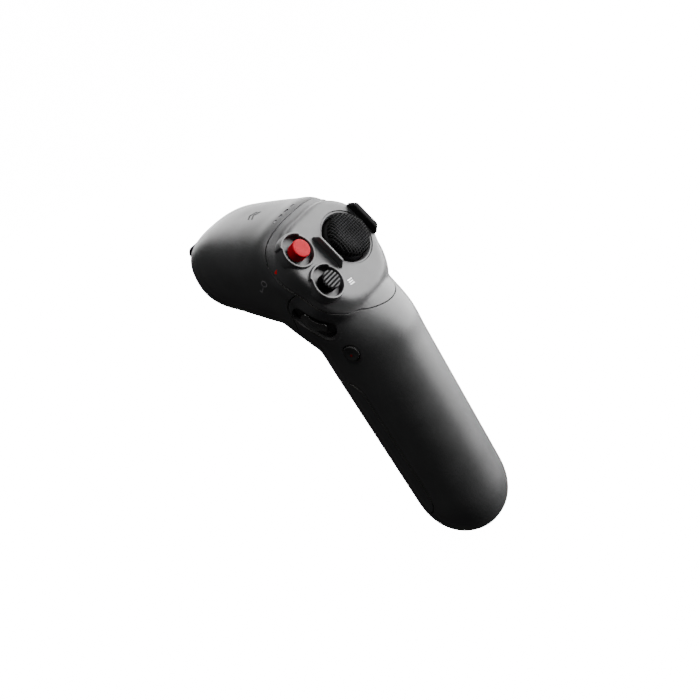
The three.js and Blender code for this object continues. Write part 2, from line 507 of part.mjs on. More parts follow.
// ---------------------------------------------------------------- trigger
// A finger blade in the throat on a pin, pulled against a spring. Its points are from the pin.
const TRIGGER_Y = 26.5, TRIGGER_Z = 61, PIN_R = 1.2, BLADE_SIDE = 0.7, BLADE_BEVEL = 0.4;
const fromPin = (points) => points.map(([y, z]) => new THREE.Vector2(TRIGGER_Y + y, TRIGGER_Z + z));
const [bladeStart] = fromPin([[-3, 1]]);
const blade = new THREE.Shape();
blade.moveTo(bladeStart.x, bladeStart.y);
blade.splineThru(fromPin([[0, 3], [3.4, 0.6], [7.1, -5], [10, -10.5], [10.3, -15.5], [8.9, -20.5],
  [6.1, -24.4]]));
blade.splineThru(fromPin([[4.4, -24.6], [5.1, -21.4], [6.1, -16.5], [5.3, -11.4], [2.1, -6.8], [-2.9, -5.5]]));
blade.closePath();
const bladeSolid = solid(new THREE.ExtrudeGeometry(blade, {
  depth: 2 * (TRIGGER_HALF - BLADE_SIDE), bevelEnabled: true, bevelThickness: BLADE_BEVEL,
  bevelSize: BLADE_BEVEL, bevelOffset: -BLADE_BEVEL, bevelSegments: 1, curveSegments: 3,
}).applyMatrix4(sideView).translate(BLADE_SIDE - TRIGGER_HALF, 0, 0));
const pinBore = solid(barX(PIN_R + 0.1, -20, 20, TRIGGER_Y, TRIGGER_Z, 20));
add('trigger_lever', bladeSolid.subtract(pinBore), 'black');
const PIN_HALF = TRIGGER_HALF + 2.6;
add('trigger_pin', barX(PIN_R, -PIN_HALF, PIN_HALF, TRIGGER_Y, TRIGGER_Z), 'steel');
for (const [name, side] of [['left', -1], ['right', 1]]) {
  const bracket = softBox(2.4, 9, 9, 0.6, side * (TRIGGER_HALF + 1.6), TRIGGER_Y, TRIGGER_Z);
  add(`trigger_bracket_${name}`, solid(bracket).subtract(pinBore), 'frame');
}
const MAGNET_Z = 57.6;
add('trigger_magnet', barX(1.6, -2.5, 2.5, TRIGGER_Y - 5.2, MAGNET_Z, 16), 'steel');
add('trigger_sensor', box(5, 1.2, 4, 0, TRIGGER_Y - 9, MAGNET_Z), 'chip');

// ---------------------------------------------------------------- inside the head
// Charge lights: four light pipes over a lit board under the roof.
lightX.forEach((x, i) => {
  const pipe = extruded(pill(LIGHT_LONG, LIGHT_WIDE), 4.2).translate(x, LED_Y, LIGHT_FOOT);
  add(`light_pipe_${i + 1}`, pipe, 'light');
});
add('light_board', box(20, 5, 1, LED_X, LED_Y, LIGHT_FOOT - 2), 'board');

// Radio board with its can, two antennas, buzzer and shaker.
add('radio_board', box(32, 28, 1.2, 0, 52, 84.4), 'board');
add('radio_can', softBox(18, 15, 2.4, 0.5, 0, 54, 86.5), 'steel');
add('antenna_left', box(1, 20, 13, -20.5, 56, 81), 'gold');
add('antenna_right', box(1, 20, 13, 20.5, 56, 81), 'gold');
add('buzzer', disc(5.5, 79.4, 83.4, 16).translate(8, 53, 0), 'black');
add('vibration_motor', disc(5, 80.4, 83.4, 16).translate(-8, 53, 0), 'steel');

// ---------------------------------------------------------------- inside the grip
// Battery in a cradle with a contact at each end. Heights are along the grip's axis.
const CELL_R = 9.2, CELL_Y = -3, CELL_LOW = -42, CELL_HIGH = 23, NUB_R = 3.2, NUB_HIGH = 0.8;
const cradle = solid(softBox(23, 11.8, 66, 0.8, 0, CELL_Y + 6.9, (CELL_LOW + CELL_HIGH) / 2))
  .subtract(solid(disc(CELL_R + 0.35, -60, 50, 32).translate(0, CELL_Y, 0)));
add('battery_cradle', cradle, 'frame', onGrip);
add('battery_cell', turned([[0, CELL_LOW], [CELL_R, CELL_LOW], [CELL_R, CELL_HIGH], [NUB_R, CELL_HIGH],
  [NUB_R, CELL_HIGH + NUB_HIGH], [0, CELL_HIGH + NUB_HIGH]], 20).translate(0, CELL_Y, 0), 'cell', onGrip);
add('contact_top', box(12, 9, 0.6, 0, CELL_Y, CELL_HIGH + 1.5), 'gold', onGrip);
add('contact_bottom', box(12, 9, 0.6, 0, CELL_Y, CELL_LOW - 0.7), 'gold', onGrip);

// Main board in front of the cell, and the screws that hold the front cover.
add('main_board', box(25, 1.2, 54, 0, 10.8, -8), 'board', onGrip);
add('processor_can', softBox(15, 2, 16, 0.5, 0, 12.8, 2), 'steel', onGrip);
add('motion_sensor', box(4, 1.2, 4, 0, 12.4, -16), 'chip', onGrip);
for (const [i, z] of [22.4, -38.6].entries()) {
  const place = (g) => onGrip(g.rotateX(-90 * DEG).translate(0, 14, z));
  add(`cover_screw_${i + 1}`, joined(disc(1.8, 1.2, 2.4, 12), disc(0.9, -3, 1.6, 12)), 'steel', place);
}

// Charge port: a thin shell with a tongue, and the board behind it.
const PORT_SKIN = 0.7;
const portShell = solid(extruded(pill(PORT_LONG, PORT_WIDE), 8))
  .subtract(solid(extruded(pill(PORT_LONG - PORT_SKIN, PORT_WIDE - PORT_SKIN), 8).translate(0, 0, -1.2)));
const tongue = solid(box(6.6, 0.7, 6, 0, 0, 4));
add('charge_port', portShell.add(tongue), 'steel', (g) => onGrip(g.translate(0, 0, GRIP_END + 0.4)));
add('charge_board', box(16, 9, 1.2, 0, 0, GRIP_END + 9.4), 'board', onGrip);

export default group;
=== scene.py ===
"""Visual model of a one-hand motion controller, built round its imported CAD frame.

Lengths in the builders are millimetres in the row frame (x right, y forward, z up);
make() turns them into metres. Every visible cover, button and cap is rebuilt here as a
fine mesh; the sealed inner pieces keep their CAD meshes and get finished materials.
"""
import json
import math

import bmesh
import bpy
import numpy as np
from mathutils import Matrix, Vector
from mathutils.bvhtree import BVHTree


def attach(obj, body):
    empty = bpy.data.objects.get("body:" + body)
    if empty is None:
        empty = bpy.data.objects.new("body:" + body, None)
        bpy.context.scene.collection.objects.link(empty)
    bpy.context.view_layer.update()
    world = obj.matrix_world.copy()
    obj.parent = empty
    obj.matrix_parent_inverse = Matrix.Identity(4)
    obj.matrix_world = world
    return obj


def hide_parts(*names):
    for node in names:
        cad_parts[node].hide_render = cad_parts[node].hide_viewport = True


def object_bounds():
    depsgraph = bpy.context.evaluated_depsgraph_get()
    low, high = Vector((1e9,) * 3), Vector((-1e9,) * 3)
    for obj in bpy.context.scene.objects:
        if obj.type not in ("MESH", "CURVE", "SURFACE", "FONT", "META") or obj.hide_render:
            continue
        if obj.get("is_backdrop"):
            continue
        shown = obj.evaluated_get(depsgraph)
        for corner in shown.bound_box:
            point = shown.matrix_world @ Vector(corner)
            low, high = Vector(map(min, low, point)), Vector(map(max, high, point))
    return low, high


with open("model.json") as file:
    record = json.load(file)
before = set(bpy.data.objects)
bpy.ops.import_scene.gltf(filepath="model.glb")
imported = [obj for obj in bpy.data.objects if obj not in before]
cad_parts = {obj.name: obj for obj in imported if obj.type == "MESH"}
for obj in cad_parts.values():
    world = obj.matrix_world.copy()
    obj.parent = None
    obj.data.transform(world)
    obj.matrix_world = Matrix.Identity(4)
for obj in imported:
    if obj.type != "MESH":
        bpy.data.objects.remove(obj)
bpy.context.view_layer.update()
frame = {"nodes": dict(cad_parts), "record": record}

MM = 0.001
DEG = math.pi / 180

# ------------------------ driving sizes
GAP = 0.3                      # between neighbouring pieces
WALL = 2.0                     # wall of the moulded covers
RAKE = 10 * DEG                # the grip leans back from upright
GRIP_TOP, GRIP_END = 45.0, -64.5
GRIP_DEPTH_TOP, GRIP_DEPTH_END, GRIP_ASPECT = 22.9, 21.1, 0.95
FACE_AT, FACE_LEAN = (0, 6, 85), 30 * DEG
STICK_X, STICK_U, STICK_PIVOT, CAP_R, CAP_TOP = 8.8, -1.0, -5.0, 10.2, 4.7
STICK_HOLE_R, CHAMFER_R, CHAMFER_DEEP, DISH_R, DISH_DEEP = 11.0, 11.8, 2.1, 12.7, 0.45
KNURL_PITCH, KNURL_DEEP = 1.15, 0.24
BUTTON_X, BUTTON_U, BUTTON_R, BUTTON_TOP = -16.1, 8.8, 4.1, 3.9
RIM_R, RIM_LIP, RIM_TOP, WELL_FLOOR, SCOOP = 7.7, 0.9, 1.5, -2.2, 0.8
SCOOP_FROM, SCOOP_TO = 38 * DEG, 138 * DEG
CUP_R, STEM_HOLE_R = 9.2, 3.4
GUARD_HALF, GUARD_LEFT_TOP, GUARD_RIGHT_TOP, GUARD_FOOT = 8.8, 4.2, 4.1, -1.8
RIB_PITCH, RIB_GAP, RIB_DEEP = 1.45, 0.85, 0.9
GUARD_LEFT, GUARD_RIGHT = (-5.6, -4.7), (20.9, 23.6)
LED_X, LED_PITCH, LED_Y, LED_LONG, LED_WIDE = -1.0, 4.4, 24.9, 1.8, 0.7
POCKET_LONG, POCKET_WIDE, POCKET_DEEP = 21.0, 8.6, 3.5
DIAL_PIVOT, DIAL_PIN_R, DIAL_HALF, DIAL_LOW, DIAL_END, DIAL_ROUND = -6.7, 0.6, 2.9, -1.3, 6.25, 1.2
RECORD_R, RECORD_BRIM, SPOT_R, POWER_LONG, POWER_WIDE = 3.6, 0.35, 0.6, 8.4, 4.2
PORT_LONG, PORT_WIDE, NOSE_LONG, NOSE_WIDE = 9.6, 3.8, 20, 6
CORD_HOLE_R, CORD_HOLE_X, CORD_HOLE_Y = 1.2, 2.6, 6.2
TRIGGER_HALF, TRIGGER_Y, TRIGGER_Z, PIN_R, PLAY = 7.0, 26.5, 61.0, 1.2, 0.1
SHARP = 32 * DEG               # edges steeper than this stay sharp when shaded

VOXEL = 0.55    # grid of the fused outer surface


# ------------------------ places
def frame_at(at, normal, along):
    """Matrix whose z is the normal and whose x lies along the given direction."""
    z = Vector(normal).normalized()
    x = Vector(along)
    x = (x - z * x.dot(z)).normalized()
    m = Matrix((x, z.cross(x), z)).transposed().to_4x4()
    m.translation = Vector(at)
    return m


FACE = Matrix.Translation(FACE_AT) @ Matrix.Rotation(math.pi / 2 - FACE_LEAN, 4, "X")
GRIP = Matrix.Rotation(-RAKE, 4, "X")
DISH = FACE @ Matrix.Translation((STICK_X, STICK_U, 0))
STICK = DISH @ Matrix.Translation((0, 0, STICK_PIVOT))
DIAL = frame_at((-24.6, 10.9, 62), (-0.965, -0.1, -0.24), (0, -0.62, -0.785))
RECORD = frame_at(GRIP @ Vector((-20.95, -6.9, 44.3)), GRIP.to_3x3() @ Vector((-0.959, -0.284, 0)),
                  GRIP.to_3x3() @ Vector((0, 0, 1)))
POWER = frame_at((25, 28.5, 92), (0.914, 0, 0.406), (0, 1, 0))
NOSE = frame_at((0, 84, 88.5), (0, 1, 0), (1, 0, 0))


def button_at(side):
    return FACE @ Matrix.Translation((BUTTON_X, side * BUTTON_U, 0))


def light_at(i):
    return Matrix.Translation((LED_X + (i - 1.5) * LED_PITCH, LED_Y, 0))


# ------------------------ curves in plain numbers
def catmull(points, u, closed_ends=False):
    """Uniform Catmull-Rom through points at places u (0 to len - 1).

    Past an end the first and last spans are mirrored, or repeated if closed_ends."""
    p = np.asarray(points, float)
    before, after = (p[0], p[-1]) if closed_ends else (2 * p[0] - p[1], 2 * p[-1] - p[-2])
    q = np.vstack([before, p, after])
    u = np.clip(np.asarray(u, float), 0, len(p) - 1)
    i = np.minimum(u.astype(int), len(p) - 2)
    t = (u - i)[:, None]
    a, b, c, d = q[i], q[i + 1], q[i + 2], q[i + 3]
    t0, t1 = (c - a) / 2, (d - b) / 2
    return b + t0 * t + (-3 * b + 3 * c - 2 * t0 - t1) * t ** 2 + (2 * b - 2 * c + t0 + t1) * t ** 3


def smooth_path(points, steps):
    """A curve from the first point to the last, sampled at equal shares of its spans."""
    return catmull(points, np.linspace(0, len(points) - 1, steps), closed_ends=True)


def arc(x, y, r, start, end, steps):
    """Points on a circle about (x, y)."""
    return [(x + r * math.cos(a), y + r * math.sin(a)) for a in np.linspace(start, end, steps)]


def unit(rows):
    return rows / np.linalg.norm(rows, axis=1)[:, None]


def centripetal_loop(points, steps):
    """Closed centripetal Catmull-Rom loop, sampled at equal shares of its spans."""
    p = np.asarray(points, float)
    n, out = len(p), []
    for u in np.arange(steps) / steps * n:
        i = int(u)
        t = u - i
        a, b, c, d = p[(i - 1) % n], p[i % n], p[(i + 1) % n], p[(i + 2) % n]
        d0, d1, d2 = (max(np.sum((e - f) ** 2) ** 0.25, 1e-4) for e, f in ((a, b), (b, c), (c, d)))
        t0 = ((b - a) / d0 - (c - a) / (d0 + d1) + (c - b) / d1) * d1
        t1 = ((c - b) / d1 - (d - b) / (d1 + d2) + (d - c) / d2) * d1
        out.append(b + t0 * t + (-3 * b + 3 * c - 2 * t0 - t1) * t ** 2 + (2 * b - 2 * c + t0 + t1) * t ** 3)
    return np.array(out)


# ------------------------ mesh helpers
def make(name, points, faces, smooth=True):
    """A mesh object from millimetre points."""
    mesh = bpy.data.meshes.new(name)
    mesh.from_pydata([tuple(float(c) * MM for c in p) for p in points], [], faces)
    mesh.validate()
    obj = bpy.data.objects.new(name, mesh)
    bpy.context.scene.collection.objects.link(obj)
    bm = bmesh.new()
    bm.from_mesh(mesh)
    bmesh.ops.remove_doubles(bm, verts=bm.verts, dist=1e-7)
    bmesh.ops.recalc_face_normals(bm, faces=bm.faces)
    bm.to_mesh(mesh)
    bm.free()
    shade(obj, smooth)
    return obj


def shade(obj, smooth=True):
    obj.data.polygons.foreach_set("use_smooth", [smooth] * len(obj.data.polygons))
    obj.data.update()


def lofted(name, rings, matrix=Matrix(), close=True):
    """Closed skin over rings of equal length: a fan at each end, or the last ring joined to the first."""
    rings = [np.asarray(r, float) for r in rings]
    n, points, faces = len(rings[0]), [], []
    for ring in rings:
        points += [matrix @ Vector(p) for p in ring]
    for r in range(len(rings) - 1):
        for i in range(n):
            j = (i + 1) % n
            faces.append((r * n + i, r * n + j, (r + 1) * n + j, (r + 1) * n + i))
    if close:
        for r in (0, len(rings) - 1):
            points.append(matrix @ Vector(rings[r].mean(axis=0)))
            hub = len(points) - 1
            faces += [(r * n + i, r * n + (i + 1) % n, hub) for i in range(n)]
    else:
        last = (len(rings) - 1) * n
        faces += [(last + i, last + (i + 1) % n, (i + 1) % n, i) for i in range(n)]
    return make(name, points, faces)


def turned(name, profile, matrix=Matrix(), seg=96, tube=False):
    """Solid of revolution about local z. A tube's profile closes on itself, off the axis."""
    turns = [2 * math.pi * i / seg for i in range(seg)]
    rings = [[(r * math.cos(a), r * math.sin(a), z) for a in turns] for r, z in profile]
    return lofted(name, rings, matrix, close=not tube)


def disc(name, r, z0, z1, matrix, seg=48):
    """A plain cylinder between two heights on a local axis."""
    return turned(name, [(0, z0), (r, z0), (r, z1), (0, z1)], matrix, seg)


def prism(name, outline, z0, z1, matrix=Matrix()):
    """Outline of (x, y) points between two heights."""
    return lofted(name, [[(x, y, z) for x, y in outline] for z in (z0, z1)], matrix)


def bar(x, y, long, wide):
    """A rectangle's outline about (x, y)."""
    return [(x + a * long / 2, y + b * wide / 2) for a, b in ((-1, -1), (1, -1), (1, 1), (-1, 1))]


def block(name, size, at, matrix=Matrix()):
    (long, wide, high), (x, y, z) = size, at
    return prism(name, bar(x, y, long, wide), z - high / 2, z + high / 2, matrix)


def pill(long, wide, steps=12):
    """Rounded-end slot outline, long along x."""
    r = wide / 2
    h = long / 2 - r
    right = arc(h, 0, r, -math.pi / 2, math.pi / 2, steps)
    return right + [(-x, -y) for x, y in right]


def stacked_pills(name, long, wide, sizes, matrix, steps=12):
    """Rounded-end outlines stacked up: each (growth, height) adds to both of the widths."""
    rings = [[(x, y, z) for x, y in pill(long + grow, wide + grow, steps)] for grow, z in sizes]
    return lofted(name, rings, matrix)


def modified(obj, kind, **settings):
    """Adds one modifier and applies it to the mesh."""
    mod = obj.modifiers.new(kind.lower(), kind)
    for key, value in settings.items():
        setattr(mod, key, value)
    done = bpy.data.meshes.new_from_object(obj.evaluated_get(bpy.context.evaluated_depsgraph_get()))
    obj.modifiers.clear()
    old, obj.data = obj.data, done
    bpy.data.meshes.remove(old)
    return obj


def joined_cut(obj, other, operation, keep_other=False):
    modified(obj, "BOOLEAN", object=other, operation=operation, solver="MANIFOLD")
    if not len(obj.data.polygons):
        raise RuntimeError(f"{operation} left nothing of {obj.name} after {other.name}")
    if not keep_other:
        bpy.data.objects.remove(other)
    return obj


def cut(obj, *others):
    for other in others:
        joined_cut(obj, other, "DIFFERENCE")
    return obj


def join(obj, *others):
    for other in others:
        joined_cut(obj, other, "UNION")
    return obj


def inside(obj, outer):
    """Keeps the part of an object that lies within the outer skin."""
    return joined_cut(obj, outer, "INTERSECT", keep_other=True)


def copied(obj, name):
    other = obj.copy()
    other.data = obj.data.copy()
    other.name = name
    bpy.context.scene.collection.objects.link(other)
    return other


def bevelled(obj, width, segments, angle=40):
    return modified(obj, "BEVEL", width=width * MM, segments=segments, limit_method="ANGLE",
                    angle_limit=angle * DEG, harden_normals=False)


def corners(obj):
    """The points of an object's mesh as rows, in metres."""
    co = np.empty(len(obj.data.vertices) * 3)
    obj.data.vertices.foreach_get("co", co)
    return co.reshape(-1, 3)


def sharpened(obj):
    """Smooth shading that breaks at the sharp edges."""
    mesh = obj.data
    shade(obj)
    bm = bmesh.new()
    bm.from_mesh(mesh)
    for edge in bm.edges:
        edge.smooth = len(edge.link_faces) == 2 and edge.calc_face_angle(math.pi) < SHARP
    bm.to_mesh(mesh)
    bm.free()
    return obj


# ------------------------ outer surface
def grip_station(z):
    share = (GRIP_TOP - z) / (GRIP_TOP - GRIP_END)
    depth = GRIP_DEPTH_TOP + (GRIP_DEPTH_END - GRIP_DEPTH_TOP) * share
    back, front = (GRIP @ Vector((0, side * depth, z)) for side in (-1, 1))
    return back.y, back.z, front.y, front.z, depth * GRIP_ASPECT, 2.1


# back (y, z), front (y, z), half width, squareness
STATIONS = [
    (84, 99.5, 84, 65, 24.5, 2.6), (60, 101.8, 58, 61, 25.9, 2.6), (46, 102.4, 46, 58.2, 26.7, 2.7),
    (33, 102.6, 37, 55.6, 26.9, 2.8), (22.5, 102.2, 32, 54, 26.6, 2.9), (13.2, 93.5, 30, 51.5, 26.3, 2.9),
    (7.3, 83, 29, 49, 25.8, 2.7), (1.2, 72, 28.8, 46.5, 24.7, 2.5), (-4.6, 62.5, 29.3, 43.5, 23.3, 2.3),
] + [grip_station(z) for z in (GRIP_TOP, 30, 0, -24, -42, GRIP_END)]
LAST = len(STATIONS) - 1
END_POWER, END_FLAT = 2.3, 0.93
FACE_HALF = [(0, 19), (9, 18.8), (15, 17.3), (19.5, 14), (23, 9.5), (24.7, 4), (24.8, -2), (23.7, -9),
             (21.6, -14.5), (18.8, -19.3), (15, -23.4), (8.5, -26.2), (0, -27.2)]
# height and outward growth down the face's edge; the chin's edge is gentler
FACE_ROWS = [(0, -2.2), (-0.35, -1.1), (-1.1, -0.35), (-2.4, 0), (-8, 0.8), (-14, 2)]
CHIN_ROWS = [(0, -4.6), (-0.3, -3.3), (-1.1, -2.1), (-2.9, -0.3), (-5.4, 2.2), (-14, 4.5)]
CHIN_FROM, CHIN_FULL, EGG_MIDDLE = 6, 15, (0, -4)


def body_ring(s, around, inset):
    """The body's section at station s, as a ring of points, set in by a wall."""
    by, bz, fy, fz, w, n = catmull(STATIONS, [s])[0]
    back, front = np.array([by, bz]), np.array([fy, fz])
    middle, up = (back + front) / 2, back - front
    half = np.linalg.norm(up) / 2
    up = up / (2 * half)
    k = 1.0
    if s < 1:
        k = (1 - (1 - s) ** END_POWER) ** (1 / END_POWER)
    if s > LAST - 1:
        k = (1 - ((s - LAST + 1) * END_FLAT) ** END_POWER) ** (1 / END_POWER)
    a = np.arange(around) / around * 2 * math.pi
    c, q = np.cos(a), np.sin(a)
    x = np.sign(c) * np.abs(c) ** (2 / n) * max(w * k - inset, 0.01)
    h = np.sign(q) * np.abs(q) ** (2 / n) * max(half * k - inset, 0.01)
    yz = middle + up * h[:, None]
    return np.column_stack([x, yz])


def body(name, inset, around, per_station, first=0.0, last=LAST):
    ends = 1 - np.cos(np.linspace(0, math.pi / 2, 14))
    places = np.concatenate([ends[:-1], np.arange(1, LAST - 1, 1 / per_station), LAST - ends[::-1]])
    places = [first] + [s for s in places if first + 0.01 < s < last - 0.01] + [last]
    return lofted(name, [body_ring(s, around, inset) for s in places])


def smoothstep(x, low, high):
    t = np.clip((x - low) / (high - low), 0, 1)
    return t * t * (3 - 2 * t)


def face_ground(name, inset, around, fine=1):
    """The raised, egg-shaped ground of the thumb face, flared into the body below it."""
    places = np.linspace(0, len(FACE_ROWS) - 1, fine * (len(FACE_ROWS) - 1) + 1)
    rows = np.stack([catmull(FACE_ROWS, places), catmull(CHIN_ROWS, places)])
    edge = centripetal_loop(FACE_HALF + [(-x, u) for x, u in FACE_HALF[-2:0:-1]], around)
    out = unit(edge - np.array(EGG_MIDDLE))
    chin = smoothstep(-edge[:, 1], CHIN_FROM, CHIN_FULL)[:, None]
    rings = []
    for face_row, chin_row in zip(*rows):
        n, grow = (face_row * (1 - chin) + chin_row * chin - inset).T
        rings.append(np.column_stack([edge + out * grow[:, None], n]))
    return lofted(name, rings, FACE)


def outer_surface():
    """The whole outer skin: the lofted body fused with the raised face."""
    skin = join(body("outer", 0, 144, 8), face_ground("ground", 0, 160, fine=5))
    modified(skin, "REMESH", mode="VOXEL", voxel_size=VOXEL * MM)
    modified(skin, "SMOOTH", factor=0.5, iterations=36)
    return skin


# ------------------------ seams between the covers
PANEL_SEAM = [(21.7, 112), (21.7, 106), (22, 101.6), (22.7, 98), (22.3, 94), (21.2, 89.5), (17.2, 83.6),
              (11.2, 77.6), (6.3, 71.8), (0.7, 64.9), (-2.5, 60.6), (-5.4, 58.3), (-7.8, 57.2), (-9, 56.7),
              (-13, 55), (-20, 52)]
SEAM_LEAN, LEAN_FROM, LEAN_FULL = 0.13, -2, 6    # below the face the panel's seam sits lower on the right
GRIP_SEAM = [(11.4, 77.5), (13.6, 76.8), (16.4, 75), (18.8, 72.6), (19.7, 69.5), (19.7, 64), (20.9, 58),
             (23.7, 52), (28.7, 47.2), (35.7, 44.5)]
COVER_SEAM = [(40, 30.5), (14, 30.5), (6, 30), (1.4, 27.4), (0, 22), (0, 10), (0, -12), (0, -32), (1.4, -41),
              (6, -45.3), (14, -46.5), (40, -46.5)]


def leaning(points, y):
    """How far a seam drops for each millimetre to the right: only the panel's seam leans."""
    return SEAM_LEAN * smoothstep(-y, LEAN_FROM, LEAN_FULL) if points is PANEL_SEAM else 0


def seam_wall(name, points, matrix=Matrix(), width=GAP, reach=60):
    """A thin wall across the body that follows a side-view path."""
    path = smooth_path(points, 120)
    along = unit(np.gradient(path, axis=0))
    side = np.column_stack([-along[:, 1], along[:, 0]]) * width / 2
    loop = np.vstack([path + side, (path - side)[::-1]])
    n = len(path)
    rings = []
    for i in range(n):
        (y0, z0), (y1, z1) = loop[i], loop[2 * n - 1 - i]
        rings.append([(x, y, z - leaning(points, y) * x) for x, y, z in
                      ((-reach, y0, z0), (reach, y0, z0), (reach, y1, z1), (-reach, y1, z1))])
    return lofted(name, rings, matrix)


def seam_crossing(obj, points, matrix=Matrix(), limits=(0, 1)):
    """Where a side-view path crosses a surface: polylines of (point, normal), in millimetres."""
    path = smooth_path(points, 400)
    along = np.gradient(path, axis=0)
    co = corners(obj) / MM
    local = co @ np.array(matrix.to_3x3())       # the inverse of a rotation is its transpose
    local[:, 2] += leaning(points, local[:, 1]) * local[:, 0]
    side, share = np.empty(len(co)), np.empty(len(co))
    for start in range(0, len(co), 20000):
        part = local[start:start + 20000, 1:]
        gap = part[:, None, :] - path[None, :, :]
        near = np.argmin((gap ** 2).sum(axis=2), axis=1)
        d = gap[np.arange(len(part)), near]
        t = along[near]
        side[start:start + 20000] = t[:, 0] * d[:, 1] - t[:, 1] * d[:, 0]
        share[start:start + 20000] = near / (len(path) - 1)
    bm = bmesh.new()
    bm.from_mesh(obj.data)
    bm.verts.ensure_lookup_table()
    crossing = {}
    for e in bm.edges:
        a, b = e.verts[0].index, e.verts[1].index
        if (side[a] > 0) != (side[b] > 0) and limits[0] < share[a] < limits[1]:
            k = side[a] / (side[a] - side[b])
            normal = (e.verts[0].normal * (1 - k) + e.verts[1].normal * k).normalized()
            crossing[e.index] = (co[a] * (1 - k) + co[b] * k, np.array(normal))
    links = {i: [] for i in crossing}
    for f in bm.faces:
        hit = [e.index for e in f.edges if e.index in crossing]
        if len(hit) == 2:
            links[hit[0]].append(hit[1])
            links[hit[1]].append(hit[0])
    bm.free()
    lines, seen = [], set()
    for start in sorted(links, key=lambda i: (len(links[i]), i)):
        if start in seen:
            continue
        line, at = [start], start
        seen.add(start)
        while True:
            onward = [i for i in links[at] if i not in seen]
            if not onward:
                break
            at = onward[0]
            seen.add(at)
            line.append(at)
        closed = len(line) > 2 and line[0] in links[line[-1]]
        if len(line) > 12:
            lines.append(([crossing[i] for i in line], closed))
    return lines


def groove(name, line, closed, half=0.27, deep=0.42, step=0.9):
    """A V-shaped cutter swept along a seam, so that both covers get a chamfered edge."""
    at = np.array([p for p, _ in line])
    out = np.array([n for _, n in line])
    if closed:
        at, out = np.vstack([at, at[:1]]), np.vstack([out, out[:1]])
    run = np.concatenate([[0], np.cumsum(np.linalg.norm(np.diff(at, axis=0), axis=1))])
    count = max(int(run[-1] / step), 8)
    places = np.linspace(0, run[-1], count + 1)
    at, out = (np.column_stack([np.interp(places, run, axis) for axis in rows.T]) for rows in (at, out))
    if closed:
        at, out = at[:-1], out[:-1]
    for _ in range(3):      # evens out the steps of the mesh that the line was read from
        for values in (at, out):
            if closed:
                values[:] = (np.roll(values, 1, axis=0) + 2 * values + np.roll(values, -1, axis=0)) / 4
            else:
                values[1:-1] = (values[:-2] + 2 * values[1:-1] + values[2:]) / 4
    ahead = unit(np.roll(at, -1, axis=0) - np.roll(at, 1, axis=0) if closed else np.gradient(at, axis=0))
    across = unit(np.cross(ahead, out))
    out = np.cross(across, ahead)
    section = [(-half, 0), (-half * 1.3, half), (half * 1.3, half), (half, 0), (0, -deep)]
    rings = [[p + across[i] * x + out[i] * z for x, z in section] for i, p in enumerate(at)]
    return lofted(name, rings, close=not closed)


def loose_parts(obj):
    """Splits an object into its separate bodies, largest first."""
    bm = bmesh.new()
    bm.from_mesh(obj.data)
    bm.verts.ensure_lookup_table()
    tag, count = [-1] * len(bm.verts), 0
    for v in bm.verts:
        if tag[v.index] >= 0:
            continue
        stack = [v]
        tag[v.index] = count
        while stack:
            for e in stack.pop().link_edges:
                for w in e.verts:
                    if tag[w.index] < 0:
                        tag[w.index] = count
                        stack.append(w)
        count += 1
    bm.free()
    tag, co = np.array(tag), corners(obj)
    parts, faces_of = [], {}
    for p in obj.data.polygons:
        faces_of.setdefault(tag[p.vertices[0]], []).append(tuple(p.vertices))
    for part in range(count):
        ids = np.flatnonzero(tag == part)
        place = {int(v): i for i, v in enumerate(ids)}
        mesh = bpy.data.meshes.new(f"{obj.name}_{part}")
        mesh.from_pydata(co[ids].tolist(), [], [[place[v] for v in f] for f in faces_of[part]])
        new = bpy.data.objects.new(mesh.name, mesh)
        bpy.context.scene.collection.objects.link(new)
        parts.append(new)
    bpy.data.objects.remove(obj)
    return sorted(parts, key=lambda o: -len(o.data.vertices))


def main_body(obj):
    """Keeps the largest separate body: slivers that a cut leaves loose are dropped."""
    name = obj.name
    first, *rest = loose_parts(obj)
    for other in rest:
        bpy.data.objects.remove(other)
    first.name = name
    return first


def middle_of(obj):
    co = corners(obj) / MM
    return (co.min(axis=0) + co.max(axis=0)) / 2


def covers():
    """The four covers of the casing, parted along the seams."""
    outer = outer_surface()
    inner = join(body("inner", WALL, 48, 3, 0.1, LAST - 0.142), face_ground("inner_ground", WALL, 48))
    shell = cut(copied(outer, "shell"), inner)
    cut(shell, seam_wall("panel_wall", PANEL_SEAM), seam_wall("grip_wall", GRIP_SEAM),
        seam_wall("cover_wall", COVER_SEAM, GRIP))
    seams = seam_crossing(outer, PANEL_SEAM) + seam_crossing(outer, GRIP_SEAM, limits=(0.04, 1))
    seams += seam_crossing(outer, COVER_SEAM, GRIP)
    for i, (line, closed) in enumerate(seams):
        cut(shell, groove(f"seam_{i}", line, closed))
    parts = loose_parts(shell)
    found = {}
    for part in parts[:4]:
        _, y, z = middle_of(part)
        name = ("head" if y > 35 else "panel" if z > 50 else "front" if z < 0 and y > 5 else "rear")
        found[name] = part
        part.name = name
    for part in parts[4:]:
        bpy.data.objects.remove(part)
    return outer, found


# ------------------------ thumb panel
def scooped_radius(a, r):
    """Radius of a well outline at angle a: wider over the scoop, with short ramps."""
    ramp = 3 * DEG
    share = min((a - SCOOP_FROM) / ramp, (SCOOP_TO - a) / ramp)
    return r + SCOOP * min(max(share, 0), 1)


def scooped_ring(r, z, steps=180):
    return [(scooped_radius(a, r) * math.cos(a), scooped_radius(a, r) * math.sin(a), z)
            for a in (2 * math.pi * i / steps for i in range(steps))]


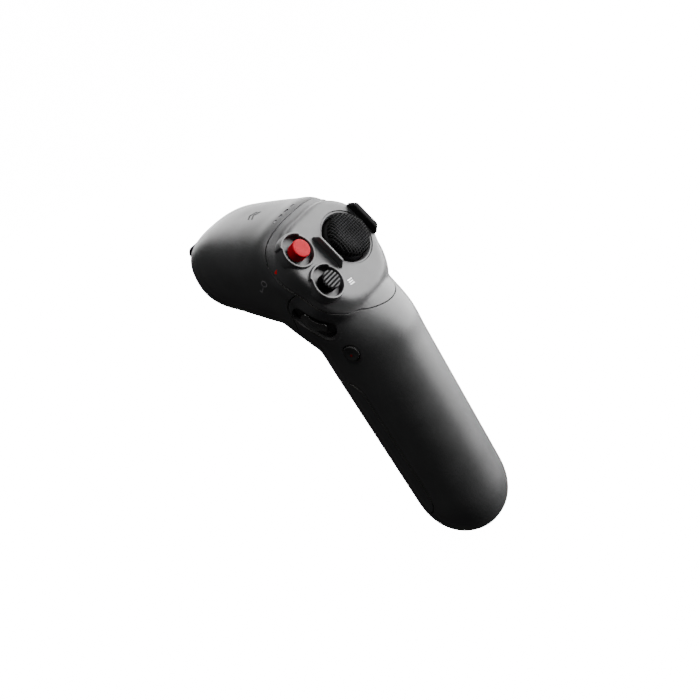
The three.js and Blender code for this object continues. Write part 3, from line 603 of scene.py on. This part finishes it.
def well_rim(side):
    """The raised wall round a button well, with a rounded lip."""
    inner, lip = RIM_R - RIM_LIP, 0.3
    low = RIM_TOP - lip
    profile = [(RIM_R + 0.5, -3), (RIM_R + 0.35, -0.2), (RIM_R + 0.1, 0.25), (RIM_R, 0.7), (RIM_R, low)]
    profile += arc(RIM_R - lip, low, lip, 15 * DEG, 75 * DEG, 4)
    profile += arc(inner + lip, low, lip, 105 * DEG, 165 * DEG, 4)
    profile += [(inner, low), (inner, -3)]
    return lofted(f"rim_{side}", [scooped_ring(r, z) for r, z in profile], button_at(side), close=False)


def well_cutter(side):
    """The well itself, down to a floor with a rounded foot."""
    r, foot = RIM_R - RIM_LIP, 0.6
    rings = [scooped_ring(*place) for place in arc(r - foot, WELL_FLOOR + foot, foot, -math.pi / 2, 0, 6)]
    return lofted(f"well_{side}", rings + [scooped_ring(r, 6)], button_at(side))


def guard(name, x0, x1, height, round_by):
    """A guard wall beside the stick: upright faces, sloping ends, rounded top."""
    half, top_half = GUARD_HALF, GUARD_HALF - 2.2
    side = [(-half, GUARD_FOOT), (half, GUARD_FOOT), (half, 0.4), (top_half, height), (-top_half, height),
            (-half, 0.4)]
    rings = [[(x, u, n) for u, n in side] for x in (x0, x1)]
    return bevelled(lofted(name, rings, FACE), round_by, 4)


def dish_cutter():
    """The shallow dish round the stick: a chamfered hole in a flat ledge with a crisp brim."""
    r, d = DISH_R, DISH_DEEP
    profile = [(0, -CHAMFER_DEEP), (STICK_HOLE_R, -CHAMFER_DEEP), (CHAMFER_R - 0.1, -d - 0.15),
               (CHAMFER_R + 0.1, -d), (r - 0.35, -d), (r - 0.18, -d + 0.06), (r - 0.08, -d + 0.18), (r, -0.1),
               (r + 0.1, 0.05), (r + 0.1, 3), (0, 3)]
    return turned("dish", profile, DISH, 128)


def thumb_panel(panel, outer):
    for side in (1, -1):
        cup = inside(disc("cup", CUP_R, WELL_FLOOR - 2, -0.5, button_at(side), 64), outer)
        join(panel, cup, well_rim(side))
    collar = inside(disc("collar", DISH_R + 0.9, -4, -0.3, DISH, 96), outer)
    cut(join(panel, collar), dish_cutter())
    join(panel, guard("guard_left", *GUARD_LEFT, GUARD_LEFT_TOP, 0.3),
         guard("guard_right", *GUARD_RIGHT, GUARD_RIGHT_TOP, 1.1))
    cut(panel, disc("stick_hole", STICK_HOLE_R, -12, 8, DISH, 128))
    for side in (1, -1):
        cut(panel, well_cutter(side), disc("hole", STEM_HOLE_R, -12, 2, button_at(side)))
    return main_body(panel)


# ------------------------ grip and head covers
def flared_slot(name, long, wide, depth, flare, matrix):
    """A rounded slot cutter with a rounded floor edge and a chamfered mouth."""
    foot = 0.5
    sizes = [(-2 * foot, -depth), (-foot * 0.6, -depth + foot * 0.25), (0, -depth + foot), (0, -flare),
             (2 * flare, 0.25), (2 * flare, 10)]
    return stacked_pills(name, long, wide, sizes, matrix)


def rear_cover(cover, outer):
    around = pill(POCKET_LONG + 2 * WALL, POCKET_WIDE + 2 * WALL)
    cup = inside(prism("pocket_cup", around, -POCKET_DEEP - WALL, 7, DIAL), outer)
    cut(cup, seam_wall("clear_grip", GRIP_SEAM, width=2), seam_wall("clear_panel", PANEL_SEAM, width=2))
    join(cover, cup)
    cut(cover, flared_slot("pocket", POCKET_LONG, POCKET_WIDE, POCKET_DEEP, 0.5, DIAL),
        block("stem_slot", (6.4, 4.4, 8), (0, 0, -POCKET_DEEP - 1), DIAL))
    r, brim = RECORD_R + GAP, RECORD_BRIM
    cut(cover, turned("record_hole", [(0, -8), (r, -8), (r, -brim), (r + brim, 0.1), (r + brim, 3), (0, 3)],
                      RECORD, 72))
    cut(cover, prism("port_hole", pill(PORT_LONG, PORT_WIDE), GRIP_END - 2, GRIP_END + 6, GRIP))
    for side in (1, -1):
        at = GRIP @ Matrix.Translation((side * CORD_HOLE_X, CORD_HOLE_Y, 0))
        cut(cover, disc("cord_hole", CORD_HOLE_R, GRIP_END - 2, GRIP_END + 6, at, 32))
    return main_body(cut(cover, trigger_window()))


def trigger_window():
    return bevelled(block("window", (2 * TRIGGER_HALF + 1, 30, 24.5), (0, 35, 46.25)), 1.2, 4)


def head_cover(cover):
    cut(cover, trigger_window())
    for i in range(4):
        cut(cover, prism("light_slot", pill(LED_LONG + 2 * GAP, LED_WIDE + 2 * GAP), 98, 106, light_at(i)))
    cut(cover, flared_slot("power_slot", POWER_LONG + 2 * GAP, POWER_WIDE + 2 * GAP, 6, 0.25, POWER))
    cut(cover, prism("nose_recess", pill(NOSE_LONG + 2 * GAP, NOSE_WIDE + 2 * GAP, 24), -1.3, 3, NOSE))
    return main_body(cover)


# ------------------------ moving pieces
def stick_cap():
    """A domed thumb pad with a fine raised grid over small pits."""
    around = 360
    low = 5.1 + STICK_PIVOT
    side = [(0.02, low)] + [(CAP_R - r, z) for r, z in (
        (1.7, low), (1.3, low + 0.03), (0.8, 0.42), (0.45, 0.8), (0.18, 1.25), (0.05, 1.7))]
    top = [(CAP_R - r, z) for r, z in (
        (0.05, 1.7), (0.3, 2.6), (0.7, 3.3), (1.4, 3.95), (2.4, 4.45), (3.6, CAP_TOP), (5.6, 4.62), (8, 4.4))]
    top.append((0.02, 4.3))
    crown = catmull(top, np.linspace(0, len(top) - 1, 110))
    rings = []
    for r, z in side + crown.tolist()[1:]:
        ring = []
        for a in np.arange(around) / around * 2 * math.pi:
            x, y = r * math.cos(a), r * math.sin(a)
            press = 0.0
            if z > 1.75:
                u, v = x / KNURL_PITCH % 1, y / KNURL_PITCH % 1
                ridge = min(min(u, 1 - u), min(v, 1 - v)) * 2
                press = -KNURL_DEEP * min(ridge * 1.7, 1)
            shrink = 1 + press / 12
            ring.append((x * shrink, y * shrink, z + press - STICK_PIVOT))
        rings.append(ring)
    return lofted("stick_pad", rings, STICK)


def stick_skirt():
    """The dark dome that closes the stick's hole at every tilt."""
    outer_r, inner_r, top, under, shaft = 10.6, 9.8, 4.8, 4.2, 2.3
    profile = [(shaft, top), (shaft, under)]
    for r, z0, z1 in ((inner_r, under, -0.5), (outer_r, -0.5, top)):
        profile += [(math.sqrt(r * r - z * z), z) for z in np.linspace(z0, z1, 14)]
    return turned("stick_dome", profile, STICK, 96, tube=True)


def button_profile():
    """The buttons' shared section: stem, collar and a rounded crown."""
    soft = 0.55
    crown = arc(BUTTON_R - soft, BUTTON_TOP - soft, soft, 0, math.pi / 2, 7)
    return [(0, -8), (3, -8), (3, -5.8), (3.9, -5.8), (3.9, -4.8), (3, -4.8), (3, -1.1), (BUTTON_R, -1.1),
            (BUTTON_R, -0.9)] + crown + [(1.8, BUTTON_TOP - 0.03), (0, BUTTON_TOP - 0.06)]


def lock_button():
    return turned("lock_cap", button_profile(), button_at(1), 96)


def mode_button():
    """The same button with straight ribs across its crown."""
    cap = turned("mode_cap", button_profile(), button_at(-1), 96)
    for i in range(-2, 3):
        slot = block("slot", (10, RIB_GAP, RIB_DEEP * 2), (0, i * RIB_PITCH, BUTTON_TOP), button_at(-1))
        cut(cap, bevelled(slot, 0.12, 2))
    return cap


DIAL_CREST = [(-6.2, -0.6), (-4.5, -0.1), (-2.2, 0.9), (0, 1.2), (2, 0.8), (4, 0), (6.2, -0.6)]


def dial_knob():
    """The rocking side dial: a waved crest, rounded across, on a stem."""
    turns, rings = np.linspace(-math.pi / 2, math.pi / 2, 19), []
    for x, z in smooth_path(DIAL_CREST, 60):
        half = DIAL_HALF * math.sqrt(1 - (abs(x) / DIAL_END) ** 6)
        drop = min(DIAL_ROUND, z - DIAL_LOW - 0.15)
        arch = [(x, half * math.sin(a), z - drop * (1 - math.sqrt(math.cos(a) + 1e-9))) for a in turns]
        rings.append(arch + [(x, half, DIAL_LOW), (x, -half, DIAL_LOW)])
    knob = join(lofted("dial_lever", rings, DIAL), block("stem", (2.6, 3.6, 7), (0, 0, -4.5), DIAL))
    turn = Matrix.Translation((0, 0, DIAL_PIVOT)) @ Matrix.Rotation(math.pi / 2, 4, "X")
    return cut(knob, disc("bore", DIAL_PIN_R + PLAY, -6, 6, DIAL @ turn, 32))


def record_button():
    soft = 0.4
    crown = arc(RECORD_R - soft, 0.28, soft, 0, math.pi / 2, 6)
    profile = [(0, -6), (2.6, -6), (2.6, -3.6), (4.4, -3.6), (4.4, -2.9), (RECORD_R, -2.9)] + crown
    dished = [(RECORD_R - 0.9, 0.62), (RECORD_R - 1.3, 0.5), (1.2, 0.44), (1.15, 0.34), (0, 0.34)]
    return turned("record_cap", profile + dished, RECORD, 72)


def power_button():
    sizes = [(2, -4.6), (2, -3.8), (0, -3.8), (0, 0.75), (-0.25, 1.05), (-0.8, 1.2)]
    foot = prism("power_foot", pill(POWER_LONG, POWER_WIDE), -5, -4, POWER)
    return join(stacked_pills("power_cap", POWER_LONG, POWER_WIDE, sizes, POWER, 20), foot)


TRIGGER_FRONT = [(0, 3), (3.4, 0.6), (7.1, -5), (10, -10.5), (10.3, -15.5), (8.9, -20.5), (6.1, -24.4)]
TRIGGER_BACK = [(4.4, -24.6), (5.1, -21.4), (6.1, -16.5), (5.3, -11.4), (2.1, -6.8), (-2.9, -5.5), (-3, 1)]


def trigger_lever():
    """The finger blade, hollowed along its front for the fingertip."""
    outline = np.vstack([smooth_path(TRIGGER_FRONT, 40), smooth_path(TRIGGER_BACK, 40)])
    loop = [(TRIGGER_Y + y, TRIGGER_Z + z) for y, z in outline]
    rings = [[(x, y, z) for y, z in loop] for x in (-TRIGGER_HALF + 0.7, TRIGGER_HALF - 0.7)]
    lever = bevelled(lofted("trigger_blade", rings), 0.9, 5, 60)
    axle = Matrix.Translation((0, TRIGGER_Y, TRIGGER_Z)) @ Matrix.Rotation(math.pi / 2, 4, "Y")
    return cut(lever, disc("bore", PIN_R + PLAY, -20, 20, axle))


def nose_cover():
    sizes = [(0, -1), (0, 0.6), (-0.25, 0.9), (-0.8, 1.07)]
    return stacked_pills("nose_pad", NOSE_LONG, NOSE_WIDE, sizes, NOSE, 24)


def light_pipe(i):
    sizes = [(0, 98.4), (0, 102.3), (-0.2, 102.5), (-0.4, 102.56)]
    return stacked_pills(f"light_window_{i + 1}", LED_LONG, LED_WIDE, sizes, light_at(i), 10)


# ------------------------ small printed marks
def printed(name, outlines, matrix, surface, lift=0.03, thick=0.12):
    """Thin raised ink: flat outlines laid on the cover below them."""
    tree = BVHTree.FromObject(surface, bpy.context.evaluated_depsgraph_get())
    aim = -(matrix.to_3x3() @ Vector((0, 0, 1)))
    points, faces = [], []
    for outline in outlines:
        n, start = len(outline), len(points)
        for height in (lift, lift - thick):
            for x, y in outline:
                far = matrix @ Vector((x, y, 8))
                hit = tree.ray_cast(far * MM, aim)[0]
                base = hit / MM if hit else matrix @ Vector((x, y, 0))
                points.append(base - aim * height)
        faces.append(tuple(range(start, start + n)))
        faces.append(tuple(range(start + 2 * n - 1, start + n - 1, -1)))
        faces += [(start + i, start + n + i, start + n + (i + 1) % n, start + (i + 1) % n) for i in range(n)]
    return make(name, points, faces, smooth=False)


def ring_mark(x, y, r, wide, steps=20):
    """A ring as short quads, so that each one can lie on a curved surface."""
    quads = []
    for i in range(steps):
        a, b = (2 * math.pi * k / steps for k in (i, i + 1))
        quads.append([(x + q * math.cos(t), y + q * math.sin(t)) for q, t in
                      ((r, a), (r, b), (r - wide, b), (r - wide, a))])
    return quads


def marks(head, face):
    """Generic marks: bars by the ribbed button, a ring and a wedge by the red one, chevrons on top."""
    roof = frame_at((-1, 44, 102.4), (0, 0, 1), (1, 0, 0))
    arms = [[(side * a, y - 0.6 * a - k) for a, k in ((a0, 0), (a0 + 0.8, 0), (a0 + 0.8, 0.8), (a0, 0.8))]
            for y in (1.8, -0.4) for side in (1, -1) for a0 in (0, 0.8, 1.6, 2.4)]
    at_mode = FACE @ Matrix.Translation((-6.6, -15.4, 0)) @ Matrix.Rotation(-10 * DEG, 4, "Z")
    bars = [bar(0, i * 1.0, 2.6, 0.5) for i in (-1, 0, 1)]
    flank = frame_at((-26.6, 27, 82.6), (-1, 0, 0), (0, 0.62, -0.78))
    lock = ring_mark(-1.4, 0, 1.5, 0.34) + [bar(2.2, 0, 3.2, 0.36), bar(3.4, -0.6, 0.36, 1.0)]
    wedge = [[(-1.1, -0.8), (1.1, 0), (-1.1, 0.8)]]
    pointer = frame_at((-24.4, 18.2, 88.6), (-1, -0.2, 0.5), (0, -0.5, 0.86))
    return [(printed("roof_mark", arms, roof, head, lift=0.12, thick=0.3), "black_ink"),
            (printed("mode_mark", bars, at_mode, face), "white_ink"),
            (printed("lock_mark", lock, flank, head), "grey_ink"),
            (printed("lock_pointer", wedge, pointer, face), "red_ink")]


# ------------------------ materials
class Nodes:
    """A material's node tree, with short calls to add and link nodes."""

    def __init__(self, name):
        self.material = bpy.data.materials.new(name)
        self.material.use_nodes = True
        self.tree = self.material.node_tree
        self.tree.nodes.clear()
        self.shader = self.add("ShaderNodeBsdfPrincipled")
        self.add("ShaderNodeOutputMaterial", {"Surface": self.shader.outputs["BSDF"]})
        self.place = self.add("ShaderNodeTexCoord").outputs["Object"]

    def add(self, kind, inputs=None, **settings):
        node = self.tree.nodes.new(kind)
        for key, value in settings.items():
            setattr(node, key, value)
        for key, value in (inputs or {}).items():
            if isinstance(value, bpy.types.NodeSocket):
                self.link(value, node.inputs[key])
            else:
                node.inputs[key].default_value = value
        return node

    def link(self, start, end):
        self.tree.links.new(start, end)

    def feed(self, socket, value):
        """Sets one of the shader's own inputs, to a constant or to another node's output."""
        if isinstance(value, bpy.types.NodeSocket):
            self.link(value, self.shader.inputs[socket])
        else:
            self.shader.inputs[socket].default_value = value

    def noise(self, scale, detail, rough=0.5, place=None):
        inputs = {"Vector": place or self.place, "Scale": scale, "Detail": detail, "Roughness": rough}
        return self.add("ShaderNodeTexNoise", inputs).outputs["Fac"]

    def spread(self, value, low, high, to_low=0.0, to_high=1.0):
        inputs = {"Value": value, "From Min": low, "From Max": high, "To Min": to_low, "To Max": to_high}
        return self.add("ShaderNodeMapRange", inputs).outputs["Result"]

    def math(self, operation, a, b):
        return self.add("ShaderNodeMath", {0: a, 1: b}, operation=operation).outputs[0]

    def mix(self, factor, a, b):
        return self.add("ShaderNodeMix", {0: factor, 6: a, 7: b}, data_type="RGBA").outputs[2]

    def patches(self, scale, detail, a, b, low=0.3, high=0.7):
        """A number or a colour that wanders between a and b over soft noise."""
        value = self.noise(scale, detail)
        if isinstance(a, tuple):
            return self.mix(self.spread(value, low, high), a, b)
        return self.spread(value, low, high, a, b)

    def along(self, matrix):
        """The place measured along a piece's own axes: X, Y and Z outputs."""
        inputs = {"Vector": self.place, "Location": matrix.translation * MM, "Rotation": matrix.to_euler()}
        moved = self.add("ShaderNodeMapping", inputs, vector_type="TEXTURE").outputs["Vector"]
        return self.add("ShaderNodeSeparateXYZ", {"Vector": moved}).outputs

    def bump(self, height, strength, distance):
        node = self.add("ShaderNodeBump", {"Height": height, "Strength": strength, "Distance": distance})
        self.feed("Normal", node.outputs["Normal"])

    def worn_edges(self, amount):
        """Share of edge wear from the mesh's own curvature."""
        sharp = self.add("ShaderNodeNewGeometry").outputs["Pointiness"]
        return self.spread(sharp, 0.53, 0.62, 0.0, amount)


def rgb(red, green, blue):
    return (red, green, blue, 1)


def grey(value):
    return rgb(value, value, value * 1.03)


def scaled(colour, factor):
    return tuple(min(c * factor, 1) for c in colour[:3]) + (1,)


def moulded_plastic(name, dark, light, rough, grain, depth, specular=0.5):
    """Spark-eroded moulded plastic: fine grain, faint mottling and rubbed edges."""
    n = Nodes(name)
    fine, coarse = n.noise(grain, 2, 0.6), n.noise(grain * 0.35, 3, 0.55)
    mottled = n.patches(90, 4, dark, light, 0.35, 0.65)
    n.feed("Base Color", n.mix(n.worn_edges(0.35), mottled, scaled(light, 1.9)))
    smear = n.spread(n.noise(35, 5, 0.6), 0.3, 0.7, rough - 0.05, rough + 0.05)
    n.feed("Roughness", n.math("ADD", smear, n.spread(fine, 0.3, 0.7, -0.03, 0.03)))
    n.feed("Specular IOR Level", specular)
    n.bump(n.math("ADD", fine, coarse), 0.5, depth)
    return n.material


def knurled_rubber():
    """Dark rubber: the raised grid lines are painted paler as rubbed, lit tops, and the pits between them are
    painted near-black as shade.
    """
    n = Nodes("knurled_rubber")
    place = n.along(STICK)
    lines = []
    for axis in ("X", "Y"):
        zigzag = n.math("PINGPONG", n.math("MULTIPLY", place[axis], 1 / (KNURL_PITCH * MM)), 0.5)
        lines.append(n.spread(zigzag, 0.19, 0.07))
    line = n.math("MAXIMUM", *lines)
    worn_and_lit = n.patches(220, 4, grey(0.009), grey(0.015), 0.35, 0.65)
    # the pits are painted near-black as shade; the raised lines get the paler colour of rubbed, lit tops
    n.feed("Base Color", n.mix(line, grey(0.0012), worn_and_lit))
    n.feed("Roughness", n.patches(3000, 3, 0.62, 0.78))
    n.feed("Specular IOR Level", 0.04)
    n.bump(line, 0.7, 0.00012)
    return n.material


def ribbed_rubber():
    """Dark rubber: the rib tops are painted paler as rubbed, lit tops, and the slots between them are painted
    near-black as shade and reflect less.
    """
    n = Nodes("ribbed_rubber")
    height = n.along(button_at(-1))["Z"]
    top = n.spread(height, (BUTTON_TOP - 0.4) * MM, (BUTTON_TOP - 0.12) * MM)
    worn_and_lit = n.patches(220, 4, grey(0.007), grey(0.011), 0.35, 0.65)
    # the slots are painted near-black as shade; the rib tops get the paler colour of rubbed, lit tops
    n.feed("Base Color", n.mix(top, grey(0.0012), worn_and_lit))
    n.feed("Roughness", n.patches(3000, 3, 0.5, 0.62))
    # painted shade in the reflections too: the slots reflect far less than the rib tops
    n.feed("Specular IOR Level", n.spread(top, 0, 1, 0.02, 0.3))
    n.bump(n.noise(4800, 2), 0.4, 0.00002)
    return n.material


def red_plastic():
    """Satin red moulding, faintly see-through at the skin."""
    n = Nodes("red_plastic")
    n.feed("Base Color", n.patches(160, 4, rgb(0.205, 0.0018, 0.006), rgb(0.245, 0.0026, 0.009), 0.35, 0.65))
    n.feed("Roughness", n.patches(400, 3, 0.42, 0.55))
    n.feed("Specular IOR Level", 0.05)
    n.feed("Subsurface Weight", 0.05)
    n.feed("Subsurface Scale", 0.001)
    n.bump(n.noise(3800, 2), 0.35, 0.00002)
    return n.material


def brushed_metal(name, tint, rough):
    """Metal with fine lines drawn along one direction."""
    n = Nodes(name)
    stretched = n.add("ShaderNodeMapping", {"Vector": n.place, "Scale": (60, 60, 4200)}).outputs["Vector"]
    lines = n.noise(1.0, 4, 0.6, stretched)
    n.feed("Base Color", n.patches(120, 4, scaled(tint, 0.8), tint))
    n.feed("Roughness", n.spread(lines, 0.3, 0.7, rough - 0.08, rough + 0.1))
    n.feed("Metallic", 1.0)
    n.bump(lines, 0.3, 0.00002)
    return n.material


def circuit_board():
    """Solder mask over copper tracks and scattered pads."""
    n = Nodes("circuit_board")
    mask = {"Color1": rgb(0.01, 0.07, 0.03), "Color2": rgb(0.014, 0.09, 0.04),
            "Mortar": rgb(0.03, 0.17, 0.08)}
    tracks = n.add("ShaderNodeTexBrick", {"Vector": n.place, "Scale": 260.0, "Mortar Size": 0.03, **mask})
    cells = n.add("ShaderNodeTexVoronoi", {"Vector": n.place, "Scale": 420.0}, feature="DISTANCE_TO_EDGE")
    pad = n.spread(cells.outputs["Distance"], 0.30, 0.34)
    n.feed("Base Color", n.mix(pad, tracks.outputs["Color"], rgb(0.62, 0.5, 0.24)))
    n.feed("Roughness", n.patches(300, 3, 0.32, 0.5))
    n.bump(tracks.outputs["Fac"], 0.3, 0.00003)
    return n.material


def wrapped_cell():
    """Shrink film over the cell: blue, faintly wrinkled, with a pale band."""
    n = Nodes("wrapped_cell")
    wave = n.add("ShaderNodeTexWave", {"Vector": n.place, "Scale": 18.0, "Distortion": 3.0, "Detail": 2.0},
                 bands_direction="Z").outputs["Fac"]
    n.feed("Base Color", n.mix(n.spread(wave, 0.85, 0.95), rgb(0.03, 0.11, 0.34), rgb(0.05, 0.17, 0.45)))
    n.feed("Roughness", n.patches(150, 4, 0.25, 0.45))
    n.bump(n.noise(260, 4), 0.3, 0.0001)
    return n.material


def light_window():
    """Milky diffuser with faint grain."""
    n = Nodes("light_window")
    n.feed("Base Color", n.patches(500, 3, rgb(0.05, 0.05, 0.053), rgb(0.075, 0.075, 0.08)))
    n.feed("Roughness", n.patches(900, 2, 0.25, 0.4))
    n.feed("Transmission Weight", 0.1)
    n.bump(n.noise(2500, 2), 0.2, 0.00001)
    return n.material


def ink(name, colour):
    """Pad-printed ink: slightly uneven cover and a matte surface."""
    n = Nodes(name)
    n.feed("Base Color", n.patches(900, 4, scaled(colour, 0.82), colour))
    n.feed("Roughness", n.patches(1500, 3, 0.47, 0.63))
    n.feed("Specular IOR Level", 0.08)
    n.bump(n.noise(4000, 2), 0.3, 0.00001)
    return n.material


INKS = {name: ink(name, rgb(*colour)) for name, colour in (
    ("white_ink", (0.82, 0.82, 0.82)), ("grey_ink", (0.16, 0.16, 0.165)), ("red_ink", (0.35, 0.008, 0.01)),
    ("black_ink", (0.004, 0.004, 0.004)), ("dim_red_ink", (0.11, 0.003, 0.004)))}
RECORD_GREY = moulded_plastic("record_grey", grey(0.011), grey(0.015), 0.6, 4800, 0.00002, specular=0.3)
GLOSS_BLACK = moulded_plastic("gloss_black", grey(0.006), grey(0.009), 0.28, 5200, 0.00001, specular=0.9)
MATERIALS = {
    "shell": moulded_plastic("shell_plastic", grey(0.020), grey(0.026), 0.50, 4200, 0.00004),
    "rubber": moulded_plastic("grip_rubber", grey(0.0035), grey(0.0055), 0.75, 5200, 0.00003, specular=0.06),
    "red": red_plastic(),
    "black": moulded_plastic("satin_black", grey(0.004), grey(0.006), 0.42, 4800, 0.00002, specular=0.2),
    "steel": brushed_metal("plain_steel", rgb(0.56, 0.57, 0.58), 0.3),
    "board": circuit_board(),
    "chip": moulded_plastic("chip_resin", grey(0.016), grey(0.022), 0.55, 5000, 0.00002),
    "cell": wrapped_cell(),
    "frame": moulded_plastic("filled_frame", grey(0.045), grey(0.06), 0.6, 3600, 0.00004),
    "light": light_window(),
    "gold": brushed_metal("gold_plate", rgb(0.78, 0.56, 0.22), 0.28),
}


# ------------------------ the pieces
def finish_piece(obj, name, body_name, slot, *nodes, look=None):
    """Names a piece, gives it its material and tells the frame what it rides on and replaces."""
    obj.name = obj.data.name = name
    obj.data.materials.clear()
    obj.data.materials.append(look or MATERIALS[slot])
    sharpened(obj)
    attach(obj, body_name)
    if nodes:
        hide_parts(*nodes)
    return obj


def finish_mark(mark, body_name, colour):
    mark.data.materials.append(INKS[colour])
    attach(mark, body_name)


def darken_guard(face):
    """The tall guard on the stick's right has a dark soft-touch skin."""
    face.data.materials.append(MATERIALS["rubber"])
    to_face = FACE.inverted()
    for p in face.data.polygons:
        x, u, n = to_face @ (p.center / MM)
        if GUARD_RIGHT[0] - 0.1 < x < GUARD_RIGHT[1] + 0.1 and abs(u) < GUARD_HALF + 0.1 and n > 0.12:
            p.material_index = 1


def build():
    outer, found = covers()
    head = finish_piece(head_cover(found["head"]), "head_cover", "handset", "shell", "head_shell")
    face = finish_piece(thumb_panel(found["panel"], outer), "thumb_face", "handset", "shell", "thumb_panel")
    darken_guard(face)
    for mark, colour in marks(head, face):
        finish_mark(mark, "handset", colour)
    finish_piece(rear_cover(found["rear"], outer), "grip_rear", "handset", "shell", "grip_shell")
    finish_piece(main_body(found["front"]), "grip_front", "handset", "shell", "grip_front_cover")
    bpy.data.objects.remove(outer)
    finish_piece(nose_cover(), "nose_pad", "handset", "rubber", "nose_cover")
    finish_piece(stick_cap(), "stick_pad", "stick", "rubber", "stick_cap", look=knurled_rubber())
    finish_piece(stick_skirt(), "stick_dome", "stick", "black", "stick_skirt")
    finish_piece(lock_button(), "lock_cap", "lock", "red", "lock_button")
    finish_piece(mode_button(), "mode_cap", "mode", "black", "mode_button", look=ribbed_rubber())
    finish_piece(dial_knob(), "dial_lever", "dial", "black", "dial_knob", look=GLOSS_BLACK)
    record = finish_piece(record_button(), "record_cap", "record", "black", "record_button", look=RECORD_GREY)
    spot = arc(-0.75, 0.3, SPOT_R, 0, 2 * math.pi, 25)[:-1]
    finish_mark(printed("record_spot", [spot], RECORD, record, lift=0.05), "record", "dim_red_ink")
    finish_piece(power_button(), "power_cap", "power", "black", "power_button")
    finish_piece(trigger_lever(), "trigger_blade", "trigger", "black", "trigger_lever")
    for i in range(4):
        finish_piece(light_pipe(i), f"light_window_{i + 1}", "handset", "light", f"light_pipe_{i + 1}")
    slots = {s["node"]: s["material_slot"] for s in frame["record"]["subparts"]}
    for node, obj in frame["nodes"].items():
        for place in obj.material_slots:
            place.material = MATERIALS[slots[node]]


# ------------------------ stage, lights and camera
def stage():
    """A seamless pale floor that sweeps up into a wall and a ceiling all round.

    Only the camera sees it, so that it throws no light back on the dark casing."""
    low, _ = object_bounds()
    ground, reach, curve, top = low.z / MM - 0.15, 2600, 700, 3000
    sweep = [(0, ground), (reach / 3, ground), (reach - curve, ground)]
    sweep += arc(reach - curve, ground + curve, curve, 0.2 - math.pi / 2, 0, 12)
    sweep += [(reach, top), (reach / 2, top + curve), (0, top + curve)]
    floor = turned("floor", [(max(r, 0.5), z) for r, z in sweep], seg=96)
    floor.data.flip_normals()
    n = Nodes("floor_paint")
    n.feed("Base Color", n.mix(n.noise(30, 3), rgb(0.2, 0.2, 0.2), rgb(0.22, 0.22, 0.22)))
    n.feed("Roughness", 0.9)
    n.feed("Emission Color", rgb(1, 1, 1))
    n.feed("Emission Strength", 16.0)
    floor.data.materials.append(n.material)
    floor.visible_diffuse = floor.visible_glossy = floor.visible_transmission = floor.visible_shadow = False
    floor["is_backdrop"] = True


def lamp(name, towards, distance, size, watts, aim=(0, 20, 60)):
    """A rectangular area light at a distance along a direction from the aim point."""
    data = bpy.data.lights.new(name, "AREA")
    data.shape, data.size, data.energy = "RECTANGLE", size[0] * MM, watts
    data.size_y = size[1] * MM
    obj = bpy.data.objects.new(name, data)
    way = Vector(towards).normalized()
    obj.location = (Vector(aim) + way * distance) * MM
    obj.rotation_euler = way.to_track_quat("Z", "Y").to_euler()
    bpy.context.scene.collection.objects.link(obj)


def lights():
    world = bpy.data.worlds.new("studio")
    world.use_nodes = True
    sky = world.node_tree.nodes["Background"].inputs
    sky["Color"].default_value = rgb(1, 1, 1)
    sky["Strength"].default_value = 0.06
    bpy.context.scene.world = world
    lamp("key_right", (0.84, -0.44, 0.26), 600, (900, 900), 41)
    lamp("back_right", (0.62, 0.78, 0.27), 700, (560, 560), 8)
    lamp("overhead", (-0.22, -0.08, 0.95), 600, (260, 260), 2.8)
    lamp("glint_left", (-0.513, -0.777, 0.365), 600, (50, 50), 0.26)


def camera():
    """The view: the camera's own axes in the row frame, and its place."""
    right, up, back = (0.5416, -0.7546, -0.3704), (0.5392, -0.0262, 0.8418), (-0.6449, -0.6556, 0.3927)
    data = bpy.data.cameras.new("camera")
    data.sensor_width, data.lens = 36, 56.72
    data.shift_x, data.shift_y = 0.0217, -0.150
    data.clip_start, data.clip_end = 0.01, 20
    obj = bpy.data.objects.new("camera", data)
    m = Matrix((right, up, back)).transposed().to_4x4()
    m.translation = Vector((-297.835, -297.631, 266.890)) * MM
    obj.matrix_world = m
    bpy.context.scene.collection.objects.link(obj)
    bpy.context.scene.camera = obj


camera()
build()
stage()
lights()
